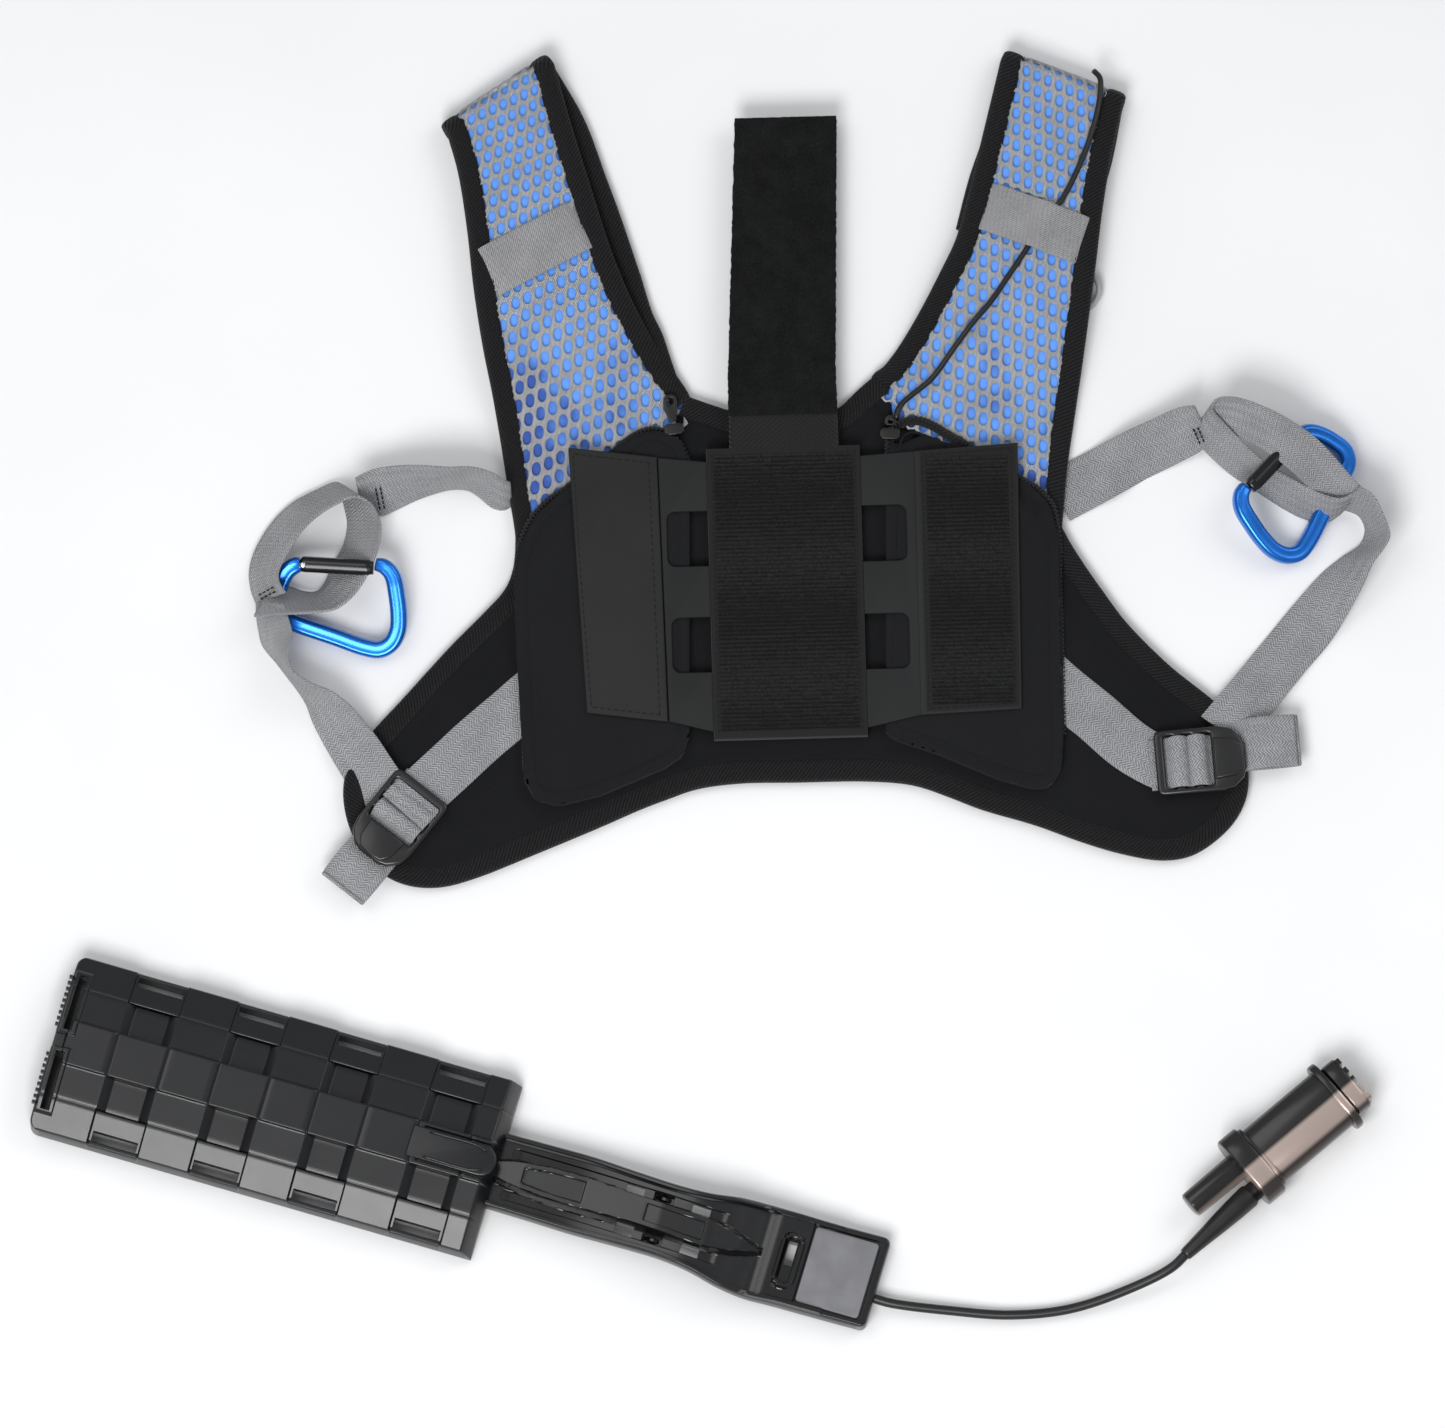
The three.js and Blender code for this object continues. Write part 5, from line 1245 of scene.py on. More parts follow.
# ---------------------------------------------------------------- pockets and zips
# Line of the zip teeth (x, y), from the inner edge round the back to the outer edge.
TEETH_Z = 8.2
TEETH = {
    "left": [
        (-46.075, 58.7576), (-47.5, 66.0416), (-50.35, 72.3544), (-54.625, 77.2104),
        (-59.375, 79.8812), (-64.6, 80.6096), (-69.825, 79.1528), (-75.525, 75.7536),
        (-81.225, 70.8976), (-92.625, 62.1568), (-102.6, 53.416), (-112.1, 47.1032),
        (-117.325, 42.2472), (-122.075, 36.42), (-125.4, 29.6216), (-127.775, 21.852),
        (-128.725, 11.1688), (-128.25, -3.3992), (-127.3, -27.6792), (-125.875, -51.9592),
        (-124.45, -84.98)],
    "right": [
        (47.5, 68.4696), (47.975, 76.2392), (50.35, 81.5808), (55.1, 84.4944),
        (62.225, 85.4656), (70.3, 82.552), (76.475, 78.6672), (86.45, 72.84),
        (94.05, 67.984), (102.6, 62.6424), (110.2, 57.3008), (115.9, 53.9016),
        (121.125, 50.5024), (124.45, 46.6176), (127.3, 41.7616), (128.725, 33.992),
        (129.675, 23.3088), (129.675, 6.3128), (130.625, -22.8232), (131.575, -67.984)]}
# Arc of each slider: centre, radius, and the angle it rests at in degrees; the two tab sizes.
SLIDERS = {"left": dict(centre=(-40.85, -16.5104), radius=96.9, rest=97.6, tip=17.5, half=3.4),
           "right": dict(centre=(44.175, -28.8932), radius=106.4, rest=87.4, tip=9.5, half=3.0)}
RIGHT_RUN = -41                             # travel of the right slider in degrees


def pocket(side):
    """Blown-up pocket; returns the points of its top."""
    outline = POCKETS[side]
    tops = []

    def edit(V):
        q, d = nearest(V[:, :2], np.vstack([outline, outline[:1]]))
        _, within = outline_distance(V, outline)
        go = np.minimum(np.clip(9.0 * (1 - d / 32.0), 0, 9.0), np.maximum(d - 0.2, 0))
        go = np.where(within, go, 0)
        V[:, :2] += (q - V[:, :2]) / np.maximum(d, 1e-6)[:, None] * go[:, None]
        d, _ = outline_distance(V, outline)
        top = V[:, 2] > 8.5
        V[top, 2] += 1.0 * (1 - np.exp(-np.maximum(d[top] - 7, 0) / 9.0))
        V[top, 2] -= 1.0 * np.exp(-((d[top] - 6.0) / 1.5) ** 2)
        V[top, 2] += 0.35 * np.sin(V[top, 0] / 13 + V[top, 1] / 31) * np.sin(V[top, 1] / 17)
        V[top, 2] = np.minimum(V[top, 2], 11.35)
        if side == "right":
            # the pocket lies low along the run of its slider
            arc = SLIDERS[side]
            x, y = V[:, 0] - arc["centre"][0], V[:, 1] - arc["centre"][1]
            off = np.abs(np.hypot(x, y) - arc["radius"])
            a = np.degrees(np.arctan2(y, x))
            run = top & (a > arc["rest"] + RIGHT_RUN - 5) & (a < arc["rest"] + 5)
            V[run, 2] = np.minimum(V[run, 2], 8.9 + 0.9 * np.maximum(off[run] - 5.2, 0))
        tops.append(V[top])
        return V

    inflate(side + "_pocket", side + "_pocket_pad", voxel=3.4, pressure=3.0, cap=0.8,
            mat=mat_pocket, edit=edit, floor=6.4, smooth=2)
    return tops[0]


def pocket_seam(side, top):
    """Embossed line a little inside the pocket's edge, lying on its top."""
    outline = POCKETS[side][::SIDES[side]]
    P = path(level(outline, 0.0), 3.2, closed=True)
    C = P + left_of(tangents(P, True)) * SIDES[side] * 6.0
    d, within = outline_distance(C, outline)
    C = C[(d > 5.0) & within]
    for q in C:
        near = np.argsort(np.hypot(top[:, 0] - q[0], top[:, 1] - q[1]))[:4]
        q[2] = np.sort(top[near, 2])[1:3].mean() + 0.1
    z = C[:, 2].copy()
    for _ in range(3):
        z = (np.roll(z, 1) + z + np.roll(z, -1)) / 3
    C[:, 2] = z - 0.36
    tube(side + "_pocket_seam", C, 0.6, mat_pocket, "vest", count=8, step=2.4, closed=True,
         slot="padded_cloth")


def zip_track(side):
    P = path(level(TEETH[side], TEETH_Z), 1.0)
    T = tangents(P)
    A = left_of(T) * -SIDES[side]
    middle = path(P + A * 1.2 - [0, 0, 0.7], 2.4)
    sweep(side + "_zip_tape", middle, left_of(tangents(middle)), UP, tape_profile(4.4, 1.0, 8),
          mat_black_webbing, "vest", slot="zip_plastic", replaces=(side + "_zip_track",))
    teeth = [(P[i] + A[i] * (0.42 if i % 2 else -0.42) + [0, 0, 0.55],
              A[i] * 0.72, T[i] * 0.3, UP * 0.36) for i in range(len(P))]
    boxes(side + "_zip_teeth", teeth, mat_zip, "vest", slot="zip_plastic")


def slider(side, centre, radius, rest, tip, half):
    """Zip slider and its pull tab, pointing away from the arc's centre."""
    t = math.radians(rest)
    place = placer((centre[0] + radius * math.cos(t), centre[1] + radius * math.sin(t)), t)
    body = [(-2.7, -3.2), (-1.6, -4.8), (1.6, -4.8), (2.7, -3.2),
            (2.7, 3.4), (1.4, 4.8), (-1.4, 4.8), (-2.7, 3.4)]
    plate(side + "_slider_low", body, [], 9.2, 11.3, 0.5, mat_dark, side + "_slider", place,
          slot="dark_metal", replaces=(side + "_zip_slider",))
    tab = [(4.6, -1.9), (tip - 4, -half), (tip - 1.2, -half + 0.5), (tip, -1.2),
           (tip, 1.2), (tip - 1.2, half - 0.5), (tip - 4, half), (4.6, 1.9)]
    plate(side + "_pull_tab", tab, [circle(1.7, 14) + [tip - 3.4, 0]], 7.6, 9.25, 0.4,
          mat_dark, side + "_puller", place, slot="dark_metal",
          replaces=(side + "_zip_puller",))


for side in SIDES:
    pocket_seam(side, pocket(side))
    zip_track(side)
for side in SIDES:
    slider(side, **SLIDERS[side])

# ---------------------------------------------------------------- hook panel
HOOK_X, HOOK_Y = 36.5, 70.5                 # half sizes of the hook panel


def hook_rows(name, x0, x1, y0, y1, z, body):
    """Rows of moulded hooks as small ridges of random length with gaps."""
    V, F = [], []
    count = int((y1 - y0) / 2.05)
    for i in range(count):
        y = y0 + (i + 0.5) * (y1 - y0) / count
        x = x0
        while x < x1 - 0.5:
            end = min(x + 2.0 + random.random() * 4.5, x1)
            height = 0.55 + random.random() * 0.35
            jitter = (random.random() - 0.5) * 0.35
            b = len(V)
            for across in (x + 0.1, end - 0.1):
                for along, up in ((-0.75, 0), (-0.42, height), (0.42, height), (0.75, 0)):
                    V.append((across, y + along + jitter, z + up))
            F += [[b, b+4, b+5, b+1], [b+1, b+5, b+6, b+2], [b+2, b+6, b+7, b+3],
                  [b, b+1, b+2, b+3], [b+4, b+7, b+6, b+5], [b, b+3, b+7, b+4]]
            x = end
    make(name, on_hook(*np.array(V).T), F, mat_hook, body, smooth=False, slot="hook_tape")


def hook_seam(name, points, z, body, slot):
    stitches(name, on_hook(*level(points, z).T), body, slot=slot)


plate("hook_block", [(-HOOK_X, -HOOK_Y), (HOOK_X, -HOOK_Y), (HOOK_X, HOOK_Y), (-HOOK_X, HOOK_Y)],
      [], 6.8, 13.0, 0.8, mat_black_webbing, "vest", on_hook, slot="hook_tape",
      replaces=("hook_panel",))
hook_rows("hook_panel_rows", -HOOK_X + 3.4, HOOK_X - 3.4, -HOOK_Y + 3.2, HOOK_Y - 3.2, 12.95,
          "vest")
for name, x in (("hook_panel_thread", -HOOK_X + 2.4), ("hook_panel_thread2", HOOK_X - 2.4)):
    hook_seam(name, [(x, HOOK_Y - 2.2), (x, 0), (x, -HOOK_Y + 2.2)], 13.1, "vest", "hook_tape")

# ---------------------------------------------------------------- wings
BEND_Z = 12.4                               # height of the bending lines
# Inner strip: |x|, y of its two far corners, y of its near ends, and cut-outs (y from, y to,
# |x| reached). Flap: outline. bend: x of the joint between strip and flap.
WINGS = {
    "left": dict(far=((57.6, -61.4), (59.5, 66.8)), near=(-66.9, 64.2),
                 cuts=[(-38.0, -11.2, 55.2), (13.6, 40.4, 56.2)], bend=-59.2,
                 flap=[(-58.2, -61.6), (-60.0, 67.2), (-102, 73.0), (-96.6, -56.2)]),
    "right": dict(far=((62.6, -61.4), (62.9, 66.7)), near=(-66.9, 65.2),
                  cuts=[(-38.6, -11.6, 57.6), (13.8, 41.0, 57.8)], bend=63.75,
                  flap=[(62.2, 66.8), (62.0, -61.6), (110, -60.0), (111.7, 69.4)])}
# Seams on the flaps: name, points.
LEFT_SEAMS = [
    ("left_wing_thread", [(-64.0, 64.6), (-62.9, 0), (-62.0, -58.8)]),
    ("left_wing_thread2", [(-62.5, 64.2), (-80, 66.8), (-99.8, 69.8)]),
    ("left_wing_thread3", [(-99.8, 69.8), (-97.5, 6), (-94.4, -53.4)]),
    ("left_wing_thread4", [(-61.0, -58.4), (-78, -56.0), (-94.4, -53.4)])]
RIGHT_SEAMS = [
    ("right_wing_thread_a", [(66.0, 64.4), (65.9, 0), (65.9, -58.9)]),
    ("right_wing_thread_b", [(66.0, 64.4), (88, 65.4), (108.6, 66.6)]),
    ("right_wing_thread_c", [(108.6, 66.6), (107.8, 6), (107.2, -57.4)]),
    ("right_wing_thread_d", [(66, -58.9), (87, -58.2), (107.2, -57.4)])]


def bend_point(x, y):
    """Point on a bending line, in metres."""
    return tuple((on_hook(x, y, BEND_Z) * MM).tolist())


def wing_strip(sign, far, near, cuts):
    """Three tongues reach the hook panel; the cut-outs between them are open on that side."""
    edge, r = 36.6, 4.0
    points = [(edge, near[0])]
    for y0, y1, x in cuts:
        points.append((edge, y0))
        for y, first in ((y0 + r, -90), (y1 - r, 0)):
            for q in np.radians(np.linspace(first, first + 90, 6)):
                points.append((x - r + r * math.cos(q), y + r * math.sin(q)))
        points.append((edge, y1))
    points += [(edge, near[1]), far[1], far[0]]
    return [(sign * x, y) for x, y in points][::-sign]


def bent_plate(name, outline, z0, z1, bevel, mat, x_start, x_end, node):
    """Neoprene plate with extra cuts across a narrow band of x."""
    obj = plate(name, outline, [], z0, z1, bevel, mat, None, on_hook, slot="neoprene",
                replaces=(node,))
    start, end = bend_point(x_start, 0), bend_point(x_end, 0)
    # seven cuts across the band, from its start to its end
    bm = bmesh.new()
    bm.from_mesh(obj.data)
    s, d = Vector(start), Vector(end) - Vector(start)
    for share in np.linspace(0.0, 1.0, 7):
        bmesh.ops.bisect_plane(bm, geom=bm.verts[:] + bm.edges[:] + bm.faces[:],
                               plane_co=s + d * share, plane_no=d.normalized())
    bm.to_mesh(obj.data)
    bm.free()
    obj.data.set_sharp_from_angle(angle=math.radians(35))
    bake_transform(obj)
    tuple(start)
    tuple(end)


for side, sign in SIDES.items():
    wing = WINGS[side]
    bent_plate(side + "_wing_inner", wing_strip(sign, wing["far"], wing["near"], wing["cuts"]),
               11.6, 12.9, 0.45, mat_strip, sign * 36.55, sign * 38.9,
               side + "_wing_strip")
    bent_plate(side + "_wing_outer", wing["flap"], 11.75, 13.35, 0.6, mat_flap,
               wing["bend"] - sign * 1.15, wing["bend"] + sign * 1.15,
               side + "_wing_flap")
for name, points in LEFT_SEAMS:
    hook_seam(name, points, 13.35, "left_wing_end", "neoprene")
for name, points in RIGHT_SEAMS:
    hook_seam(name, points, 14.0, "right_wing_end", "hook_tape")
plate("right_patch", [(64.6, -60.2), (108.9, -58.8), (110.4, 68.0), (64.9, 66.0)], [],
      13.3, 13.9, 0.25, mat_black_webbing, "right_wing_end", on_hook, slot="hook_tape",
      replaces=("right_hook_patch",))
hook_rows("right_patch_rows", 67.6, 106.6, -57.2, 63.4, 13.85, "right_wing_end")

# ---------------------------------------------------------------- centre strap
TOP_BEND = HOOK_Y + 4.7 + 33                # y of the bend between lower and upper part


def strap_sheet(name, left, right, y0, y1, z, thick, mat, nx, ny, fuzz, slot, node):
    """Strip whose edges run from x left[0], right[0] at y0 to left[1], right[1] at y1."""
    ys = np.linspace(y0, y1, ny + 1)
    share = (ys - y0) / (y1 - y0)
    a = left[0] + (left[1] - left[0]) * share
    b = right[0] + (right[1] - right[0]) * share
    grid = np.zeros((nx + 1, ny + 1, 3))
    grid[..., 0] = a + (b - a) * np.linspace(0, 1, nx + 1)[:, None]
    grid[..., 1] = ys
    grid[..., 2] = z + thick / 2 + fuzz * (random.random((nx + 1, ny + 1)) - 0.5)
    for edge in (0, -1):
        grid[edge, :, 0] += fuzz * 0.9 * (random.random(ny + 1) - 0.5)
    low = grid.copy()
    low[..., 2] = z - thick / 2
    V = on_hook(*np.concatenate([grid.reshape(-1, 3), low.reshape(-1, 3)]).T)
    ids = np.arange((nx + 1) * (ny + 1)).reshape(nx + 1, ny + 1)
    off = ids.size
    corners = (ids[:-1, :-1], ids[1:, :-1], ids[1:, 1:], ids[:-1, 1:])
    upper = np.stack([c.ravel() for c in corners], 1)
    F = [upper, upper[:, ::-1] + off]
    for line in (ids[0, ::-1], ids[-1, :], ids[:, 0], ids[::-1, -1]):
        F.append(np.stack([line[:-1], line[1:], line[1:] + off, line[:-1] + off], 1))
    F = np.concatenate(F)
    return make(name, V, F, mat, None, uv=V[F.ravel()][:, [1, 0]], slot=slot, replaces=(node,))


root = strap_sheet("centre_strap_root", (-25.4, -25.2), (26.6, 26.5), HOOK_Y - 1.5, HOOK_Y + 18,
                   z=12.0, thick=1.5, mat=mat_black_webbing, nx=24, ny=16, fuzz=0.05,
                   slot="webbing", node="top_strap_webbing")
bend_point(0, HOOK_Y + 3.4)
bend_point(0, HOOK_Y + 6.2)
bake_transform(root)
lower = strap_sheet("centre_strap_lower", (-25.6, -25.0), (26.6, 26.2), HOOK_Y + 15.6,
                    TOP_BEND - 1.0, z=12.5, thick=2.0, mat=mat_fuzz, nx=34, ny=16, fuzz=0.5,
                    slot="loop_tape", node="top_strap_lower")
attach(lower, "top_strap")
upper = strap_sheet("centre_strap_upper", (-25.0, -18.4), (26.2, 30.2), TOP_BEND - 1.3,
                    HOOK_Y + 160.5, z=12.5, thick=2.0, mat=mat_fuzz, nx=36, ny=86, fuzz=0.5,
                    slot="loop_tape", node="top_strap_upper")
bend_point(0, TOP_BEND - 1.15)
bend_point(0, TOP_BEND + 1.15)
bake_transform(upper)

# ---------------------------------------------------------------- ladder-lock buckles and tails
BUCKLE_L, BUCKLE_W = 21.5, 15.7             # half length and half width
# Webbing as local (x, z): up through one slot, over a bar, down through the next.
WRAPS = [
    ("bar_wrap_a", [(-19.8, 9.0), (-18.6, 8.95), (-15.2, 10.2), (-12.8, 13.3), (-10.3, 14.5),
                    (-7.6, 13.3), (-5.6, 10.2), (-4.5, 8.6)]),
    ("bar_feed", [(-24, 9.1), (-21, 8.9), (-18.2, 8.75)]),
    ("bar_wrap_b", [(-6.0, 8.8), (-4.4, 12.6), (-1.3, 14.6), (1.6, 13.2), (3.4, 10), (8, 8.3),
                    (14, 8.2)])]
# Place and turn of each buckle, sideways shift of the tail, and the tail's two layers (x, z).
BUCKLES = {
    "left": dict(
        origin=(-185.535, -111.34808), turn=-128.5, shift=0.0,
        tail=[(12, 8.5), (17, 8.6), (21, 9.4), (24.5, 11.2), (28, 12.0), (33, 11.4), (39.5, 9.9)],
        below=[(14, 7.2), (20, 7.0), (26, 6.8), (32, 7.2), (37, 8.0), (40, 8.6), (41, 9.4)]),
    "right": dict(
        origin=(196.46, -81.5808), turn=5.0, shift=6.2,
        tail=[(14, 8.5), (18, 8.6), (22, 9.4), (26, 11.4), (31, 12.2), (39, 11.4), (46, 9.9)],
        below=[(14, 7.2), (22, 7.0), (32, 7.0), (42, 7.6), (46.5, 8.6), (47.2, 9.5)])}


def buckle(side, origin, turn, shift, tail, below):
    turn = math.radians(turn)
    place = placer(origin, turn)
    body = side + "_lock"
    l, w = BUCKLE_L, BUCKLE_W
    outline = [(-l + 3, -w), (l - 12, -w), (l - 6, -w + 1.6), (l - 1.5, -w + 6), (l, -w + 10.5),
               (l, w - 10.5), (l - 1.5, w - 6), (l - 6, w - 1.6), (l - 12, w), (-l + 3, w),
               (-l + 0.8, w - 0.8), (-l, w - 3), (-l, -w + 3), (-l + 0.8, -w + 0.8)]
    slots = [rounded(x0, x1, -w + 2.8, w - 2.8, 1.5)
             for x0, x1 in ((-17, -11.8), (-8.8, -2.6), (0.4, 5.6))]
    plate(side + "_buckle", outline, slots, 9.4, 13.3, 1.3, mat_buckle, body, place, res=3,
          slot="buckle_plastic", replaces=(side + "_ladder_lock",))
    tab = [(6.5, -10), (16, -9), (20, -6), (21, 0), (20, 6), (16, 9), (6.5, 10)]
    plate(side + "_buckle_tab", tab, [], 12.6, 14.6, 0.8, mat_buckle, body, place, res=3,
          slot="buckle_plastic")

    def webbing(name, points, width, body, y=0.0, **kw):
        P = path([place(x, y, z) for x, z in points], 1.4)
        across = axes(turn)[1]
        N = unit(np.cross(tangents(P), across))
        sweep(f"{side}_{name}", P, across, N, tape_profile(width, WEB_THICK), mat_webbing,
              body, slot="webbing", **kw)

    for name, points in WRAPS:
        webbing(name, points, 24.8, "vest" if name == "bar_feed" else body)
    webbing("tail", tail, 25, body, shift, replaces=(side + "_webbing_tail",))
    webbing("tail_under", below, 25, body, shift)


for side in SIDES:
    buckle(side, **BUCKLES[side])

# ---------------------------------------------------------------- carabiners
# Local x, y along the middle of the forged bar, from the gate's pivot round to its nose.
BAR_LINE = [(3.8, 28.0), (1.6, 26.4), (-0.7, 23.6), (-2.2, 18), (-2.3, 11), (-1.2, 4.6),
            (3, 0.6), (10, 0), (30, 0), (46, 0), (52.5, 1.4), (56.6, 6), (57.6, 13),
            (55.6, 20.5), (52, 28.5), (48.2, 35.4), (45.4, 38.2), (41.6, 39.8), (37.6, 39.4)]
PIVOT, NOSE = np.array([5.1, 28.2]), np.array([36.5, 37.2])
GATE_STATIONS = (-3.2, -2.4, 0, 2.5, 6, 12, 20, 27, 31.8, 33.4)     # distances from the pivot
CARABINER_ROLL = math.radians(20)


def grooved_profile():
    """Rounded square with a groove along both faces."""
    profile = oval_profile(8.2, 8.6, 32, power=2 / 0.72)
    x, y = profile.T
    groove = 0.6 * (np.cos(x / 2.3 * math.pi) * 0.5 + 0.5) ** 0.6
    profile[:, 1] = y - np.sign(y) * np.where(np.abs(x) < 2.3, groove, 0)
    return profile


def carabiner(side, origin, direction, flip):
    """Forged bar, gate and rivet; direction is local x, flip mirrors local y."""
    x = unit([*direction, 0.0])
    y = np.cross(UP, x) * flip
    y = y * math.cos(CARABINER_ROLL) + UP * math.sin(CARABINER_ROLL)
    z = np.cross(x, y)
    M = np.stack([x, y, z])
    body = side + "_carabiner"

    def place(points):
        return np.array(origin) + np.asarray(points, float) @ M

    P = path(level(BAR_LINE, 0), 1.3)
    n = len(P)
    i = np.arange(n)
    size = 0.8 + 0.2 * np.sqrt(np.clip(np.minimum(i, i[::-1]) / 3.0, 0, 1))
    size *= np.interp(i, [0, n - 12, n - 1], [1, 1, 0.86])
    sweep(side + "_carabiner_bar", place(P), left_of(tangents(P)) @ M, z, grooved_profile(),
          mat_blue, body, sx=size, sy=size, slot="anodised_blue",
          replaces=(side + "_carabiner_body",))
    along = unit(NOSE - PIVOT)
    P = path(level([PIVOT + along * s for s in GATE_STATIONS], 0), 1.2)
    length = np.linalg.norm(P - P[0], axis=1)
    size = np.clip(length / 2.6, 0.35, 1) * np.where(length > length[-1] - 2, 0.85, 1)
    sweep(side + "_gate", place(P), left_of(tangents(P)) @ M, z,
          oval_profile(7.6, 7.8, 22, 2.6), mat_gate, side + "_gate", sx=size, sy=size,
          slot="black_gate", replaces=(side + "_carabiner_gate",))
    pin = place([[*PIVOT, height] for height in (-4.9, -4.6, 0, 4.6, 4.9)])
    size = [0.6, 1, 1, 1, 0.6]
    sweep(side + "_rivet", pin, x, y, circle(1.5, 16), mat_steel, body, sx=size, sy=size,
          slot="steel", replaces=(side + "_gate_pin",))


carabiner("left", (-243.2, -10.1976, 4.6), direction=(0.943, -0.332), flip=1)
carabiner("right", (268.28, 66.86712, 4.6), direction=(-0.453, -0.892), flip=-1)

# ---------------------------------------------------------------- support strut: housing
# Local x runs along the strut from its far left end, y across it.
HULL_L, HULL_W = 219.0, 43.5                # length and half width
BANDS = [(0, 29), (54, 79), (104, 128), (152.5, 178), (203.6, HULL_L)]
GAPS = [(before[1], after[0]) for before, after in zip(BANDS, BANDS[1:])]
STRIP_W, FACET_W = 10.7, 27                 # half widths of the centre strip and inner facet


def hull_top(x, y):
    out = np.abs(y)
    band = sum(inside(x, x0 - (x0 == 0), x1 + (x1 == HULL_L), 0.9) for x0, x1 in BANDS)
    z = (np.interp(out, [0, STRIP_W, FACET_W, HULL_W], [22.4, 22.4, 19.6, 13.6])
         - 1.8 * (1 - np.clip(band, 0, 1)) * ease(out, 26.6, 0.8))
    # shoulders sink between the bands, down a short ramp at each end
    for x0, x1 in GAPS:
        sink = np.clip(np.minimum(x - x0, x1 - x) / 4.4, 0, 1)
        z -= 4.0 * sink * inside(out, 10.9, 27.0, 0.7)
    # raised centre strip
    z += inside(y, -STRIP_W, STRIP_W, 0.9) * ease(x, 6.0, 0.9) * 1.3
    # rails beside the through slots are low
    rail = ease(out, 41.2, 0.5)
    for x0, x1 in GAPS:
        z = np.where((x > x0 + 0.5) & (x < x1 - 0.5), z * (1 - rail) + 11.6 * rail, z)
    # fine joints at the bands, outside the centre strip
    for gap in GAPS:
        for joint in gap:
            z -= 0.6 * np.exp(-((x - joint) / 0.5) ** 2) * (1 - ease(out, 10.9, 0.6))
    # rolled outer edges and bevelled end walls
    z -= 1.4 * np.clip((out - 42.6) / 0.9, 0, 1) ** 2
    z -= 9.0 * np.clip((x - (HULL_L - 5.5)) / 5.5, 0, 1) ** 1.3
    z -= 1.2 * np.clip((0.8 - x) / 0.8, 0, 1) ** 2
    # rims round the end slots
    for s in (-1, 1):
        r = np.maximum(np.abs(x - 5.3) - 2.3, np.abs(y - s * 19.5) - 14.3)
        z += 1.0 * (1 - ease(r, 1.7, 0.7)) * ease(r, -0.4, 0.6)
    # recess between them
    z -= 2.2 * inside(y, -3.6, 3.6, 0.8) * (1 - ease(x, 5.6, 0.8))
    # shallow groove along the facet break
    z -= 0.35 * np.exp(-((out - FACET_W) / 0.5) ** 2)
    # well for the latch tongue
    z -= 1.6 * inside(y, -8.6, 8.6, 0.6) * ease(x, 181.5, 0.8)
    return z


def hull_keep(x, y):
    """All but the through slots in the gaps and the two end slots."""
    keep = np.ones(x.shape, bool)
    for x0, x1 in GAPS:
        keep &= ~((x > x0 + 1.3) & (x < x1 - 1.3) & (np.abs(y) > 36.2) & (np.abs(y) < 41.2))
    for s in (-1, 1):
        keep &= ~((np.abs(x - 5.3) < 2.0) & (np.abs(y - s * 19.5) < 14.0))
    return keep


def hull_bottom(x, y):
    """The underside rises beside the through slots."""
    z = np.full(x.shape, 0.4)
    for x0, x1 in GAPS:
        raised = (x > x0 + 0.6) & (x < x1 - 0.6) & (np.abs(y) > 30.0) & (np.abs(y) < 41.0)
        z = np.where(raised, 9.0, z)
    return z


def corner_setback(out, half, r):
    """How far a round corner of radius r sets the end back at distance out from the middle."""
    d = np.clip(out - (half - r), 0, r)
    return r - np.sqrt(np.maximum(r * r - d * d, 0))


def hull_place(x, y, z):
    """The far left corners are rounded in plan."""
    x = x + corner_setback(np.abs(y), HULL_W, 5.0) * np.clip(1 - x / 24.0, 0, 1)
    return on_strut(x, y, z)


def housing():
    features = [q for x0, x1 in GAPS
                for q in (x0, x1, x0 + 4.4, x1 - 4.4, x0 + 1.3, x1 - 1.3)]
    features += [6.0, 3.3, 7.3, 1.6, 9.0, 181.5, 214, 216, 218, 0.6]
    xs = grid_lines(0, HULL_L, 1.6, features, 0.5)
    features = [s * q for s in (-1, 1)
                for q in (STRIP_W, FACET_W, 30.0, 36.2, 41.2, 42.8, 5.5, 33.5, 3.6, 8.6)]
    ys = grid_lines(-HULL_W, HULL_W, 1.3, features, 0.5)
    relief("housing_shell", xs, ys, hull_top, hull_keep, hull_bottom, mat_hull, "housing",
           hull_place, angle=32, slot="support_plastic",
           replaces=("housing_cover", "housing_base"))
    along, across = axes(STRUT_TURN)
    teeth = [(on_strut(-0.5, s * (7.5 + i * 3.0), 18.5 - 0.2 * i),
              along * 0.9, across * 0.75, UP * 1.6) for s in (-1, 1) for i in range(9)]
    boxes("housing_teeth", teeth, mat_hull, "housing", slot="support_plastic")
    plate("housing_floor_left", rounded(2.2, 9.5, -36, 36, 2), [], 3, 7, 0.5, mat_hull,
          "housing", on_strut, slot="support_plastic")


def latch_tongue():
    """Round-ended tongue with a rib along each side."""
    start, end, r = 176, 211, 7.8
    tip = [(end + r * math.cos(q), r * math.sin(q))
           for q in np.linspace(-math.pi / 2, math.pi / 2, 15)]
    plate("tongue", [(start, -r)] + tip + [(start, r)], [], 21.2, 24.4, 0.9, mat_hull, "latch",
          on_strut, slot="support_plastic", res=3, replaces=("latch_tongue",))
    for s, letter in ((-1, "a"), (1, "b")):
        rib = [on_strut(x, s * y, 24.9) for x, y in ((184.5, 6.2), (190, 6.2), (207, 6.2),
                                                     (213, 4.6))]
        tube("tongue_rib_" + letter, rib, 0.5, mat_hull, "latch", count=8,
             slot="support_plastic")


housing()
latch_tongue()

